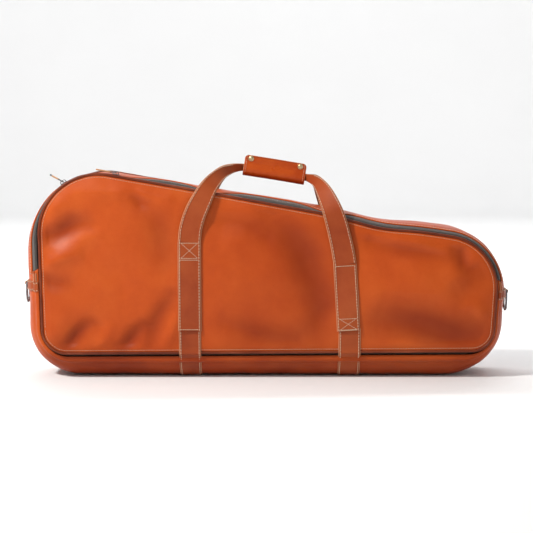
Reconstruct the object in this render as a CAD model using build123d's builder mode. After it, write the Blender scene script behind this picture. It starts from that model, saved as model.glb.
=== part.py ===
from build123d import *
import math
import os

# Soft leather cue case: a long duffel whose top slopes down to the right, closed by a two-way
# zip beside its front edge, carried by two webbing-width straps that meet in a snapped grip.
# Frame: millimetres, +X along the case, +Y to the back, +Z up. The origin is on the floor
# under the middle of the case, which stands on the two straps that wrap under it.

# ---- driving dimensions ----
RIM_Y = 78.0  # half depth at the two piped edges
FLAT_Y = 30.0  # half width of the flat middle of the gusset
LEATHER = 2.2  # thickness of the panels and gussets
CROWN = 8.5  # how far each big panel stands out past its piping
PIPING_R = 2.5
GAP = 0.3  # clearance between neighbouring pieces
# Corners of the piped edge (x, z) and of the belly line, anticlockwise from bottom left,
# each with the radius that rounds it.
RIM = [(-388, 45, 42), (392, 50, 38), (402, 234, 92), (-396, 377, 103)]
BELLY = [(-416, 2.7, 90), (409.6, 2.7, 100), (423.6, 246, 115), (-421, 380, 135)]
# zip
ZIP_Y = -67.0  # line between the two rows of teeth
ZIP_GAP = 0.7  # half of the slot between the rows
TEETH_WIDTH = 1.9
TEETH_HALF = 1.2  # half height of a row
TAPE_WIDTH = 4.4
TAPE_HALF = 0.5
ZIP_END_LEFT = 188.0  # height of the zip's left end
ZIP_END_RIGHT = 172.0
MOUTH_LEFT = -250.0  # the part of the top that folds into the case
MOUTH_RIGHT = 292.0
MOUTH_HINGE_Y = 68.0
# carrying straps
STRAP_WIDTH = 40.0
STRAP_THICK = 4.0
UNDER_THICK = 2.4
STRAP_LEFT_X = -133.0
STRAP_RIGHT_X = 146.5  # where the right strap's line meets the floor
STRAP_RIGHT_LEAN = 3.4  # degrees, top towards the left
STRAP_FOOT_Z = 86.0
STRAP_LEFT_TOP = 240.0
STRAP_RIGHT_TOP = 202.0
RISER_THICK = 3.6
# grip
GRIP_X, GRIP_Z = 14.0, 362.5
GRIP_TILT = 9.2  # degrees, right end down
GRIP_LENGTH = 110.0
GRIP_HALF = 18.5
GRIP_R = 10.0  # of the rolled lower part
GRIP_SKIN = 2.2
SNAP_U = 44.0
SNAP_V = 12.0
# end rings
TAB_LEFT_Z = 162.0
TAB_RIGHT_Z = 147.0
TAB_HEIGHT = 17.0
TAB_THICK = 2.2
LOOP_R = 4.2
LOOP_WIDTH = 24.0
RING_WIRE = 2.0
RING_HALF = 15.0
RING_DROP = 34.0
# inside
LINING_IN = 10.0  # how far the lining stands inside the leather's outer face
LINING_Y = 71.0
LINING_CUT = 24.0  # how far below the top edge the lining ends
CLOTH = 0.8
BOARD_LENGTH, BOARD_DEPTH, BOARD_THICK = 540.0, 70.0, 3.5
BOARD_Z = 8.6
CRADLE_X = 190.0
CRADLE_LENGTH = 52.0
CRADLE_TOP = 84.0
BUTT_Y, BUTT_R = 37.0, 17.0  # notches for the cues' butts
SHAFT_Y, SHAFT_R = 9.5, 8.0  # and for their shafts
HOLD_WIDTH, HOLD_LENGTH, HOLD_THICK = 30.0, 116.0, 2.0

SLOPE_Y = (54.0, 66.0)  # depths where the curve of the gusset is faceted


# ---- shape helpers ----
def depth_share(y):
    """How much of the belly shape the case has at this depth: 0 at the piping, 1 in the middle."""
    beyond = max(0.0, abs(y) - FLAT_Y) / (RIM_Y - FLAT_Y)
    return 1.0 - beyond * beyond


def corners(share, grow=0.0):
    """The outline's corners between RIM and BELLY, moved outwards by grow, with their radii."""
    base = [tuple(a + (b - a) * share for a, b in zip(r, m)) for r, m in zip(RIM, BELLY)]
    moved = []
    for i, (x, z, radius) in enumerate(base):
        before = Vector(x, z) - Vector(*base[i - 1][:2])
        after = Vector(*base[(i + 1) % 4][:2]) - Vector(x, z)
        n1 = Vector(before.Y, -before.X).normalized()
        n2 = Vector(after.Y, -after.X).normalized()
        corner = Vector(x, z) + (n1 + n2) * (grow / (1 + n1.dot(n2)))
        moved.append((corner.X, corner.Y, max(radius + grow, 12.0)))
    return moved


def outline(share, grow=0.0):
    """The rounded outline as a closed line in the current sketch."""
    points = corners(share, grow)
    FilletPolyline(*[(x, z) for x, z, _ in points], radius=[r for _, _, r in points], close=True)


def outline_face(y, share, grow=0.0):
    """The rounded outline as a face standing at depth y."""
    with BuildSketch(Plane.XZ.offset(-y)) as face:
        with BuildLine():
            outline(share, grow)
        make_face()
    return face.sketch


def band_between(levels, outer, inner):
    """A band through the given depths and shares, between two growths of the outline."""
    with BuildPart(mode=Mode.PRIVATE) as band:
        loft([outline_face(y, share, outer) for y, share in levels], ruled=True)
        loft([outline_face(y, share, inner) for y, share in levels], ruled=True, mode=Mode.SUBTRACT)
    return band.part


def ring(levels, outer, inner):
    """A band of the gusset through the given depths, between two growths of the outline."""
    return band_between([(y, depth_share(y)) for y in levels], outer, inner)


SLAB_HALF = 200.0  # cutting prisms reach past the case on both sides
FAR = 520.0  # and past its ends


def slab(points):
    """A prism of the given x-z outline through the whole depth."""
    with BuildPart(mode=Mode.PRIVATE) as block:
        with BuildSketch(Plane.XZ):
            with BuildLine():
                Polyline(*points, close=True)
            make_face()
        extrude(amount=SLAB_HALF, both=True)
    return block.part


def top_line(share, x):
    """Height of the straight sloping top at this x."""
    (x1, z1, _), (x2, z2, _) = corners(share)[2:]
    return z1 + (z2 - z1) * (x - x1) / (x2 - x1)


def path_strip(points, thickness):
    """Corners of a strip that lies on the left-hand side of a run of points."""
    side = []
    for i, point in enumerate(points):
        here = Vector(*point)
        before = here - Vector(*points[i - 1]) if i else Vector(*points[1]) - here
        after = Vector(*points[i + 1]) - here if i + 1 < len(points) else before
        n1 = Vector(-before.Y, before.X).normalized()
        n2 = Vector(-after.Y, after.X).normalized()
        side.append(here + (n1 + n2) * (thickness / (1 + n1.dot(n2))))
    return list(points) + [(p.X, p.Y) for p in reversed(side)]


# Lines that the zip and the mouth are laid out on
SLOPE = math.atan((top_line(depth_share(ZIP_Y), 0) - top_line(depth_share(ZIP_Y), 100)) / 100)
ALONG = Vector(math.cos(SLOPE), 0, -math.sin(SLOPE))  # down the sloping top
OUTWARD = Vector(math.sin(SLOPE), 0, math.cos(SLOPE))
MOUTH_IN, MOUTH_OUT = -60, 60  # how far the mouth's cutting prism reaches inwards and outwards


def across(x, reach, grow=0.0):
    """Point on the top line at x, moved along it by grow and outwards by reach."""
    z = top_line(depth_share(ZIP_Y), x)
    point = Vector(x, 0, z) + ALONG * grow + OUTWARD * reach
    return (point.X, point.Z)


def beside_mouth(sign, x):
    """Prism over everything to the left or right of the folding part of the top."""
    cut = [across(x, 2 * MOUTH_IN, sign * GAP), across(x, 3 * MOUTH_OUT, sign * GAP)]
    return slab([(sign * FAR, 0), *cut, (sign * FAR, FAR)])


def zip_side_block(above, grow):
    """Everything above, or below, the line that joins the zip's two ends."""
    half_span = 400
    rise = (ZIP_END_LEFT - ZIP_END_RIGHT) / (2 * half_span)
    left = ZIP_END_LEFT + rise * (FAR - half_span) + grow
    right = ZIP_END_RIGHT - rise * (FAR - half_span) + grow
    return slab([(-FAR, left), (FAR, right), (FAR, above), (-FAR, above)])


UPPER = zip_side_block(FAR, GAP)
LOWER = zip_side_block(-FAR, -GAP)
LEFT_END = beside_mouth(-1, MOUTH_LEFT)
RIGHT_END = beside_mouth(1, MOUTH_RIGHT)
MOUTH = slab(
    [
        across(MOUTH_LEFT, MOUTH_IN),
        across(MOUTH_RIGHT, MOUTH_IN),
        across(MOUTH_RIGHT, MOUTH_OUT),
        across(MOUTH_LEFT, MOUTH_OUT),
    ]
)

os.makedirs("parts", exist_ok=True)


def save(name, part):
    """Label a finished piece and write it as its own file."""
    part.label = name
    export_step(part, f"parts/{name}.step")


# ---- the two big panels and their piping ----
# Depth of a panel's face, and how far inside its piped edge it has that depth
PANEL_STEPS = [
    (RIM_Y - 2.0, -2.8),
    (RIM_Y + 3.2, -12.0),
    (RIM_Y + 6.6, -32.0),
    (RIM_Y + CROWN, -58.0),
]


def panel_solid(sign, shift):
    """The crowned shape of a panel, moved inwards by shift."""
    faces = [outline_face(sign * (y - shift), 0.0, inset) for y, inset in PANEL_STEPS]
    with BuildPart(mode=Mode.PRIVATE) as solid:
        loft(faces, ruled=True)
    return solid.part


def panel_surface(depth_from_edge):
    """Depth y of a panel's outer face this far inside its piped edge."""
    for (y1, i1), (y2, i2) in zip(PANEL_STEPS, PANEL_STEPS[1:]):
        if depth_from_edge <= -i2:
            return y1 + (y2 - y1) * (depth_from_edge + i1) / (i1 - i2)
    return PANEL_STEPS[-1][0]


for name, sign in (("front_panel", -1), ("back_panel", 1)):
    with BuildPart() as panel:
        add(panel_solid(sign, 0.0))
        add(panel_solid(sign, LEATHER), mode=Mode.SUBTRACT)
    save(name, panel.part)

for name, sign in (("front_piping", -1), ("back_piping", 1)):
    with BuildPart() as piping:
        with BuildLine(Plane.XZ.offset(-sign * (RIM_Y - 1))) as piping_path:
            outline(0.0)
        with BuildSketch(Plane(origin=piping_path.line @ 0, z_dir=piping_path.line % 0)):
            Circle(PIPING_R)
        sweep(path=piping_path.line)
    save(name, piping.part)

# ---- gusset: bottom, and the strips beside the zip ----
EDGE_Y = RIM_Y - 1 - PIPING_R - GAP
HALF_LEVELS = (FLAT_Y, *SLOPE_Y, EDGE_Y)
GUSSET_LEVELS = [-y for y in reversed(HALF_LEVELS)] + list(HALF_LEVELS)
TAPE_FRONT = (-EDGE_Y, ZIP_Y - ZIP_GAP - TEETH_WIDTH)
TAPE_BACK = (ZIP_Y + ZIP_GAP + TEETH_WIDTH, ZIP_Y + ZIP_GAP + TEETH_WIDTH + TAPE_WIDTH)
STRIP_FRONT_Y = TAPE_BACK[1] + 0.1

with BuildPart() as bottom_gusset:
    add(ring(GUSSET_LEVELS, 0.0, -LEATHER))
    add(LOWER, mode=Mode.INTERSECT)
save("bottom_gusset", bottom_gusset.part)

STRIP_SLOPE_Y = 46.0
strip_levels = [STRIP_FRONT_Y, -STRIP_SLOPE_Y, -FLAT_Y, FLAT_Y, STRIP_SLOPE_Y, MOUTH_HINGE_Y]
for name, blocks in (
    ("top_strip_left", (UPPER, LEFT_END)),
    ("top_strip_flap", (MOUTH,)),
    ("top_strip_right", (UPPER, RIGHT_END)),
):
    with BuildPart() as strip:
        add(ring(strip_levels, 0.0, -LEATHER))
        for block in blocks:
            add(block, mode=Mode.INTERSECT)
    save(name, strip.part)

with BuildPart() as top_strip_margin:
    add(ring([MOUTH_HINGE_Y + GAP, EDGE_Y], 0.0, -LEATHER))
    add(UPPER, mode=Mode.INTERSECT)
save("top_strip_margin", top_strip_margin.part)


# ---- zip ----
def zip_band(depths, flat, half):
    """A part of the zip; at the depths marked flat it keeps level with the teeth."""
    levels = [(y, depth_share(ZIP_Y if level else y)) for y, level in zip(depths, flat)]
    return band_between(levels, half, -half)


def teeth_ring(y1, y2):
    """A row of teeth as one even bead along the zip's line."""
    return zip_band((y1, y2), (True, True), TEETH_HALF)


front_teeth = teeth_ring(ZIP_Y - ZIP_GAP - TEETH_WIDTH, ZIP_Y - ZIP_GAP)
back_teeth = teeth_ring(ZIP_Y + ZIP_GAP, ZIP_Y + ZIP_GAP + TEETH_WIDTH)
TAPE_LEVEL = 2.0  # width of tape that stays level with the teeth
front_depths = (TAPE_FRONT[0], TAPE_FRONT[1] - TAPE_LEVEL, TAPE_FRONT[1])
front_tape = zip_band(front_depths, (False, True, True), TAPE_HALF)
back_depths = (TAPE_BACK[0], TAPE_BACK[0] + TAPE_LEVEL, TAPE_BACK[1])
back_tape = zip_band(back_depths, (True, True, False), TAPE_HALF)
for name, body, blocks in (
    ("zip_teeth_front", front_teeth, (UPPER,)),
    ("zip_tape_front", front_tape, (UPPER,)),
    ("zip_teeth_back_left", back_teeth, (UPPER, LEFT_END)),
    ("zip_teeth_flap", back_teeth, (MOUTH,)),
    ("zip_teeth_back_right", back_teeth, (UPPER, RIGHT_END)),
    ("zip_tape_back_left", back_tape, (UPPER, LEFT_END)),
    ("zip_tape_flap", back_tape, (MOUTH,)),
    ("zip_tape_back_right", back_tape, (UPPER, RIGHT_END)),
):
    with BuildPart() as zip_piece:
        add(body)
        for block in blocks:
            add(block, mode=Mode.INTERSECT)
    save(name, zip_piece.part)

# end patches: leather tabs that cover the two ends of the zip
PATCH_LIFT, PATCH_THICK, PATCH_HEIGHT = 1.0, 1.8, 14.5
for name, sign, zip_end in (("zip_end_left", -1, ZIP_END_LEFT), ("zip_end_right", 1, ZIP_END_RIGHT)):
    top = zip_end - 1.5
    bottom = top - PATCH_HEIGHT
    with BuildPart() as patch:
        add(ring([TAPE_FRONT[0] + 1, TAPE_BACK[1] - 1], PATCH_LIFT + PATCH_THICK, PATCH_LIFT))
        window = [(0, bottom), (sign * FAR, bottom), (sign * FAR, top), (0, top)]
        add(slab(window), mode=Mode.INTERSECT)
    save(name, patch.part)

# ---- sliders and pullers, each built flat on the ground and then set on the zip ----
PLATE_LENGTH, PLATE_WIDTH, PLATE_THICK = 13.0, 8.4, 1.3
PLATE_GAP = TEETH_HALF + 0.4  # from the middle of the teeth to each plate
PLATE_TOP = PLATE_GAP + PLATE_THICK
BRIDGE_WIDTH, BRIDGE_LENGTH, BRIDGE_THICK = 3.2, 10.2, 1.4
LEG_LENGTH, LEG_HEIGHT, LEG_X = 1.8, 4.4, 4.2
PIN_Z = PLATE_TOP + 2.2  # height of the puller's pin over the middle of the teeth
WIRE_R = 0.9
LOOP_HALF = 3.0
LOOP_LENGTH = 9.0
PULL_WIDTH, PULL_THICK = 6.6, 2.8


def slider_solid():
    """Two plates joined by a thin post that runs in the slot, and a bridge for the puller."""
    with BuildPart(mode=Mode.PRIVATE) as solid:
        for side in (-1, 1):
            with Locations((0, 0, side * (PLATE_GAP + PLATE_THICK / 2))):
                Box(PLATE_LENGTH, PLATE_WIDTH, PLATE_THICK)
        fillet(solid.edges().filter_by(Axis.Z), 2.4)
        Box(7, 2 * (ZIP_GAP - GAP), 2 * PLATE_GAP + 0.6)
        for x in (-LEG_X, LEG_X):
            with Locations((x, 0, PIN_Z - 0.8)):
                Box(LEG_LENGTH, BRIDGE_WIDTH, LEG_HEIGHT)
        with Locations((0, 0, PIN_Z + 2.0)):
            Box(BRIDGE_LENGTH, BRIDGE_WIDTH, BRIDGE_THICK)
    return solid.part


def puller_solid(length):
    """A wire loop round the slider's bridge with a leather pull behind it, lying along -X."""
    with BuildPart(mode=Mode.PRIVATE) as solid:
        Cylinder(WIRE_R, 2 * LOOP_HALF + 1.4, rotation=(90, 0, 0))
        for y in (-LOOP_HALF, LOOP_HALF):
            with Locations((-LOOP_LENGTH / 2, y, 0)):
                Box(LOOP_LENGTH, 1.4, 1.6)
        with Locations((0.4 - LOOP_LENGTH, 0, 0)):
            Box(2.0, 2 * LOOP_HALF + 1.4, 2.0)
        with Locations((-LOOP_LENGTH - length / 2, 0, 0)):
            Box(length, PULL_WIDTH, PULL_THICK)
        fillet(solid.edges().filter_by(Axis.Z).group_by(Axis.X)[0], 2.6)
    return solid.part


def on_zip(point, along):
    """Plane on the zip's line with its X along the zip and its Z outwards."""
    return Plane(origin=(point[0], ZIP_Y, point[1]), x_dir=along, z_dir=along.cross(Vector(0, 1, 0)))


zip_corners = corners(depth_share(ZIP_Y))
corner_x, corner_z, ARC_R = zip_corners[3]
top_left_corner = Vector(corner_x, corner_z)
to_right = (Vector(*zip_corners[2][:2]) - top_left_corner).normalized()
to_bottom = (Vector(*zip_corners[0][:2]) - top_left_corner).normalized()
half_angle = math.radians(to_right.get_angle(to_bottom) / 2)
reach = ARC_R / math.sin(half_angle)
ARC_CENTRE = top_left_corner + (to_right + to_bottom).normalized() * reach
SLIDER_LEFT_ANGLE = math.radians(122.0)  # round the arc from +X
PULLER_LEFT_RISE = 61.0  # degrees that the left puller stands up from the zip
PULL_LEFT, PULL_RIGHT = 16.0, 26.0  # lengths of the two leather pulls
SLIDER_RIGHT_X = -261.0

arc_dir = Vector(math.cos(SLIDER_LEFT_ANGLE), math.sin(SLIDER_LEFT_ANGLE))
arc_point = ARC_CENTRE + arc_dir * ARC_R
left_dir = Vector(arc_dir.Y, 0, -arc_dir.X)
left_plane = on_zip((arc_point.X, arc_point.Y), left_dir)
right_plane = on_zip((SLIDER_RIGHT_X, top_line(depth_share(ZIP_Y), SLIDER_RIGHT_X)), ALONG)

for name, plane in (("slider_left", left_plane), ("slider_right", right_plane)):
    with BuildPart() as slider:
        add(plane.location * slider_solid())
    save(name, slider.part)

pull_pin = Location((0, 0, PIN_Z))
with BuildPart() as puller_left:
    raised_pin = pull_pin * Location((0, 0, 0), (0, PULLER_LEFT_RISE, 0))
    add(left_plane.location * raised_pin * puller_solid(PULL_LEFT))
save("puller_left", puller_left.part)
with BuildPart() as puller_right:
    add(right_plane.location * pull_pin * puller_solid(PULL_RIGHT))
save("puller_right", puller_right.part)


# ---- straps ----
def wrap_points(x, lift):
    """The run of points in y-z that hugs the case from its front panel under to the back."""
    half = []
    for y in HALF_LEVELS:
        share = depth_share(y)
        (x1, z1, _), (x2, z2, _) = corners(share)[:2]
        half.append((y, z1 + (z2 - z1) * (x - x1) / (x2 - x1)))
    edge = half[-1][1] + (EDGE_Y - RIM_Y) / 2
    half.append((RIM_Y + 2.4, edge + 1))
    half += [(panel_surface(inset), edge + inset) for inset in (12.0, 32.0)]
    half.append((panel_surface(STRAP_FOOT_Z - 1 - edge), STRAP_FOOT_Z - 1))
    line = [(-y, z) for y, z in reversed(half)] + half
    raised = path_strip(line, -lift)[len(line):]
    return list(reversed(raised))


WRAP_WIDTH = STRAP_WIDTH - 2.0
WRAP_RIGHT_X = STRAP_RIGHT_X - 3.0
for name, x in (("under_strap_left", STRAP_LEFT_X), ("under_strap_right", WRAP_RIGHT_X)):
    with BuildPart() as under_strap:
        with BuildSketch(Plane(origin=(x, 0, 0), x_dir=(0, 1, 0), z_dir=(1, 0, 0))):
            with BuildLine():
                Polyline(*path_strip(wrap_points(x, GAP), -UNDER_THICK), close=True)
            make_face()
        extrude(amount=WRAP_WIDTH / 2, both=True)
    save(name, under_strap.part)

STRAP_Y = RIM_Y + CROWN + GAP + STRAP_THICK / 2
STRAPS = (
    ("left", STRAP_LEFT_X, 0.0, STRAP_LEFT_TOP),
    ("right", STRAP_RIGHT_X, math.radians(STRAP_RIGHT_LEAN), STRAP_RIGHT_TOP),
)
for side, x, lean, top in STRAPS:
    up = Vector(-math.sin(lean), 0, math.cos(lean))
    for face, sign in (("front", -1), ("back", 1)):
        middle = Vector(x, sign * STRAP_Y, 0) + up * ((top + STRAP_FOOT_Z) / 2)
        with BuildPart() as strap:
            with BuildSketch(Plane(origin=middle, x_dir=(up.Z, 0, -up.X), z_dir=(0, 1, 0))):
                RectangleRounded(STRAP_WIDTH, top - STRAP_FOOT_Z, 3)
            extrude(amount=STRAP_THICK / 2, both=True)
        save(f"strap_{face}_{side}", strap.part)


# ---- risers: the free part of each strap, twisting up and over to the grip ----
def riser_sections(stations, sign):
    """Rectangles along a riser, one for each station of RISERS."""
    faces = []
    for x, y, z, width_lean, pitch, width in stations:
        lean = math.radians(width_lean)
        wide = Vector(math.cos(lean), 0, math.sin(lean))
        tilt = math.radians(pitch)
        normal = Vector(0, sign * math.cos(tilt), math.sin(tilt))
        plane = Plane(origin=(x, sign * y, z), x_dir=wide, z_dir=wide.cross(normal))
        with BuildSketch(plane) as section:
            Rectangle(width, RISER_THICK)
        faces.append(section.sketch)
    return faces


def grip_point(u, v):
    """A point of the grip's own frame, u along it and v up, as x and z."""
    tilt = math.radians(GRIP_TILT)
    return (
        GRIP_X + u * math.cos(tilt) + v * math.sin(tilt),
        GRIP_Z - u * math.sin(tilt) + v * math.cos(tilt),
    )


RISER_END_Y = 3.7  # half the distance between two risers where they enter the grip
left_in = grip_point(-GRIP_LENGTH / 2 - 1, -5)
right_in = grip_point(GRIP_LENGTH / 2 + 1, -5)
# Stations up each riser: x, y and z of its middle, the lean of its width from X, how far its
# face pitches over, and its width, which folds in towards the grip.
RISERS = {
    "left": [
        (STRAP_LEFT_X, STRAP_Y, STRAP_LEFT_TOP + GAP, 0, 0, STRAP_WIDTH),
        (-125, STRAP_Y, 285, -12, 0, 38),
        (-105, STRAP_Y, 328, -22, 8, 35),
        (-77, 52, 353, -50, 30, 29),
        (left_in[0], RISER_END_Y, left_in[1], -90 - GRIP_TILT, 0, 18),
    ],
    "right": [
        (134.5, STRAP_Y, STRAP_RIGHT_TOP + 1.4, STRAP_RIGHT_LEAN, 0, STRAP_WIDTH),
        (124, STRAP_Y, 252, 8, 0, 38),
        (109, 87, 302, 14, 8, 35),
        (94, 52, 334, 44, 30, 29),
        (right_in[0], RISER_END_Y, right_in[1], 90 - GRIP_TILT, 0, 18),
    ],
}
for side, stations in RISERS.items():
    for face, sign in (("front", -1), ("back", 1)):
        with BuildPart() as riser:
            loft(riser_sections(stations, sign), ruled=True)
        save(f"riser_{face}_{side}", riser.part)

# ---- grip: a leather wrap folded at the bottom and snapped shut at the top ----
GRIP_U = Plane.XZ.rotated((0, GRIP_TILT, 0)).x_dir
GRIP_PLANE = Plane(origin=(GRIP_X, 0, GRIP_Z), x_dir=(0, 1, 0), z_dir=GRIP_U)
ROLL_V = GRIP_R - GRIP_HALF  # height of the centre of the rolled lower part
NECK_V = 6.0  # where the two leaves come together
LEAF_Y = 0.2  # inner face of each flat upper leaf
LEAF_FACE = LEAF_Y + GRIP_SKIN
FOLD_GAP = GAP / 2  # each leaf stops this far from the middle of the fold


def tangent_point(radius, y):
    """Where a line from the neck at this y meets the roll of the given radius."""
    reach = math.hypot(y, NECK_V - ROLL_V)
    angle = math.atan2(NECK_V - ROLL_V, y) - math.acos(radius / reach)
    return (radius * math.cos(angle), ROLL_V + radius * math.sin(angle))


def roll_point(radius, degrees):
    """A point of the roll, by its angle from the +Y side."""
    angle = math.radians(degrees)
    return (radius * math.cos(angle), ROLL_V + radius * math.sin(angle))


def leaf(sign, hole):
    """One half of the wrap, from the fold at the bottom to the snapped edge at the top."""
    outer_y, outer_r, inner_r = LEAF_FACE, GRIP_R, GRIP_R - GRIP_SKIN
    start = math.degrees(math.asin(FOLD_GAP / outer_r)) - 90
    start_in = math.degrees(math.asin(FOLD_GAP / inner_r)) - 90
    outer_tan, inner_tan = tangent_point(outer_r, outer_y), tangent_point(inner_r, LEAF_Y)
    with BuildPart(mode=Mode.PRIVATE) as solid:
        with BuildSketch(GRIP_PLANE):
            with BuildLine():
                ThreePointArc(roll_point(outer_r, start), roll_point(outer_r, -30), outer_tan)
                Polyline(
                    outer_tan,
                    (outer_y, NECK_V),
                    (outer_y, GRIP_HALF),
                    (LEAF_Y, GRIP_HALF),
                    (LEAF_Y, NECK_V),
                    inner_tan,
                )
                ThreePointArc(inner_tan, roll_point(inner_r, -30), roll_point(inner_r, start_in))
                Line(roll_point(inner_r, start_in), roll_point(outer_r, start))
            make_face()
            if sign < 0:
                mirror(about=Plane.YZ, mode=Mode.REPLACE)
        extrude(amount=GRIP_LENGTH / 2, both=True)
        fillet(solid.edges().filter_by(Axis.Y).group_by(Axis.Z)[-1], 4)
        with Locations(*snap_locations(0)):
            Cylinder(hole, 30, mode=Mode.SUBTRACT)
    return solid.part


def snap_locations(y):
    """The two snaps' places, with their axes along the depth."""
    places = []
    for u in (-SNAP_U, SNAP_U):
        x, z = grip_point(u, SNAP_V)
        places.append(Location((x, y, z), (90, 0, 0)))
    return places


with BuildPart() as grip_back_leaf:
    add(leaf(1, 1.5))
save("grip_back_leaf", grip_back_leaf.part)
with BuildPart() as grip_front_leaf:
    add(leaf(-1, 1.9))
save("grip_front_leaf", grip_front_leaf.part)

CAP_R, CAP_HEIGHT = 5.0, 1.8
STUD_R, STUD_HEIGHT = 4.0, 1.6
POST_R, POST_LENGTH = 1.2, 4.4
with BuildPart() as snap_caps:
    with Locations(*snap_locations(-LEAF_FACE - 0.1 - CAP_HEIGHT / 2)):
        Cylinder(CAP_R, CAP_HEIGHT)
    fillet(snap_caps.edges().group_by(Axis.Y)[0], 1.2)
save("snap_caps", snap_caps.part)
with BuildPart() as snap_studs:
    with Locations(*snap_locations(LEAF_FACE + 0.1 + STUD_HEIGHT / 2)):
        Cylinder(STUD_R, STUD_HEIGHT)
    with Locations(*snap_locations(0.6)):
        Cylinder(POST_R, POST_LENGTH)
save("snap_studs", snap_studs.part)

# Half section of the folded strap ends inside the wrap, as depth and height
CORE = [(0.3, -14), (5.0, -13.2), (6.4, -9), (6.0, -5), (3.0, 0), (1.0, 3), (0.3, 3.4)]
for name, sign in (("strap_core_front", -1), ("strap_core_back", 1)):
    with BuildPart() as core:
        with BuildSketch(GRIP_PLANE):
            with BuildLine():
                Polyline(*[(sign * y, v) for y, v in CORE], close=True)
            make_face()
        extrude(amount=GRIP_LENGTH / 2, both=True)
    save(name, core.part)


# ---- end tabs and their rings ----
def end_x(sign, share, z):
    """Where the case's end stands at this height, by how much of the belly shape it has."""
    low, high = (0, 3) if sign < 0 else (1, 2)
    (x1, z1, _), (x2, z2, _) = corners(share)[low], corners(share)[high]
    return x1 + (x2 - x1) * (z - z1) / (z2 - z1)


for side, sign, z in (("left", -1, TAB_LEFT_Z), ("right", 1, TAB_RIGHT_Z)):
    half = [(end_x(sign, depth_share(y), z) + sign * 2 * GAP, y) for y in HALF_LEVELS]
    run = [(x, -y) for x, y in reversed(half)] + half
    bar_x = half[0][0] + sign * (TAB_THICK + LOOP_R)
    with BuildPart() as tab:
        with BuildSketch(Plane.XY.offset(z)):
            with BuildLine():
                Polyline(*path_strip(run, -sign * TAB_THICK), close=True)
            make_face()
        extrude(amount=TAB_HEIGHT / 2, both=True)
        with BuildSketch(Plane.XZ):
            with Locations((bar_x, z)):
                Circle(LOOP_R)
            with Locations((bar_x - sign * (LOOP_R / 2 + 0.4), z)):
                Rectangle(LOOP_R + 0.8, 1.6 * LOOP_R)
            with Locations((bar_x, z)):
                Circle(RING_WIRE + GAP, mode=Mode.SUBTRACT)
        extrude(amount=LOOP_WIDTH / 2, both=True)
    save(f"ring_tab_{side}", tab.part)
    with BuildPart() as d_ring:
        with BuildLine(Plane(origin=(bar_x, 0, z), x_dir=(0, 1, 0), z_dir=(1, 0, 0))) as ring_path:
            FilletPolyline(
                (RING_HALF, -RING_DROP),
                (RING_HALF, 0),
                (-RING_HALF, 0),
                (-RING_HALF, -RING_DROP),
                radius=[RING_HALF - 0.5, 3, 3, RING_HALF - 0.5],
                close=True,
            )
        with BuildSketch(Plane(origin=ring_path.line @ 0, z_dir=ring_path.line % 0)):
            Circle(RING_WIRE)
        sweep(path=ring_path.line)
    save(f"ring_{side}", d_ring.part)
    print(f"ring_{side} axis", round(bar_x, 3), z)

# ---- inside: stiff base board, cloth lining, and two foam cradles with their straps ----
with BuildPart() as base_board:
    with BuildSketch(Plane.XY.offset(BOARD_Z)):
        RectangleRounded(BOARD_LENGTH, BOARD_DEPTH, 20)
    extrude(amount=BOARD_THICK)
save("base_board", base_board.part)

LINING_SLOPE_Y = (FLAT_Y, 46.0, 58.0)


def lining_block(half_depth, grow):
    """The solid space inside the lining's outer or inner face."""
    half = [*LINING_SLOPE_Y, half_depth]
    depths = [-y for y in reversed(half)] + half
    with BuildPart(mode=Mode.PRIVATE) as block:
        loft([outline_face(y, depth_share(y), grow) for y in depths], ruled=True)
    return block.part


with BuildPart() as lining:
    add(lining_block(LINING_Y, -LINING_IN))
    add(lining_block(LINING_Y - CLOTH, -LINING_IN - CLOTH), mode=Mode.SUBTRACT)
    cut_line = [(x, top_line(0, x) - LINING_CUT) for x in (-FAR, FAR)]
    add(slab([*cut_line, (FAR, -50), (-FAR, -50)]), mode=Mode.INTERSECT)
save("lining", lining.part)

# Half section of a foam cradle, as depth and height
CRADLE = [(28, 14.5), (45, 27), (58, 48), (58, CRADLE_TOP)]
NOTCHES = ((-BUTT_Y, BUTT_R), (BUTT_Y, BUTT_R), (-SHAFT_Y, SHAFT_R), (SHAFT_Y, SHAFT_R))
for side, x in (("left", -CRADLE_X), ("right", CRADLE_X)):
    with BuildPart() as cradle:
        with BuildSketch(Plane(origin=(x, 0, 0), x_dir=(0, 1, 0), z_dir=(1, 0, 0))):
            with BuildLine():
                Polyline(*CRADLE, *[(-y, z) for y, z in reversed(CRADLE)], close=True)
            make_face()
            for y, radius in NOTCHES:
                with Locations((y, CRADLE_TOP - radius)):
                    Circle(radius, mode=Mode.SUBTRACT)
                with Locations((y, CRADLE_TOP)):
                    Rectangle(2 * radius, 2 * radius, mode=Mode.SUBTRACT)
        extrude(amount=CRADLE_LENGTH / 2, both=True)
    save(f"cue_cradle_{side}", cradle.part)
    with BuildPart() as hold_strap:
        with BuildSketch(Plane.XY.offset(CRADLE_TOP + GAP)):
            with Locations((x, 0)):
                RectangleRounded(HOLD_WIDTH, HOLD_LENGTH, 4)
        extrude(amount=HOLD_THICK)
    save(f"cue_strap_{side}", hold_strap.part)

# ---- joint axes, printed for the record ----
hinge_share = depth_share(MOUTH_HINGE_Y)
hinge_a = corners(hinge_share, -LEATHER)[3]
hinge_b = corners(hinge_share, -LEATHER)[2]
pivot = grip_point(0, -GRIP_HALF)
print("zip arc centre", ARC_CENTRE, "radius", ARC_R)
print("zip direction", ALONG)
print("right slider", right_plane.origin, "left slider", left_plane.origin, "left dir", left_dir)
print("pull pins", (left_plane.location * pull_pin).position, (right_plane.location * pull_pin).position)
print("mouth hinge", hinge_a[:2], hinge_b[:2], "y", MOUTH_HINGE_Y)
print("grip fold", pivot, GRIP_U)
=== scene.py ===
import math

import bmesh
import bpy
import numpy as np
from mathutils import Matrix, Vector, noise


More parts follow.
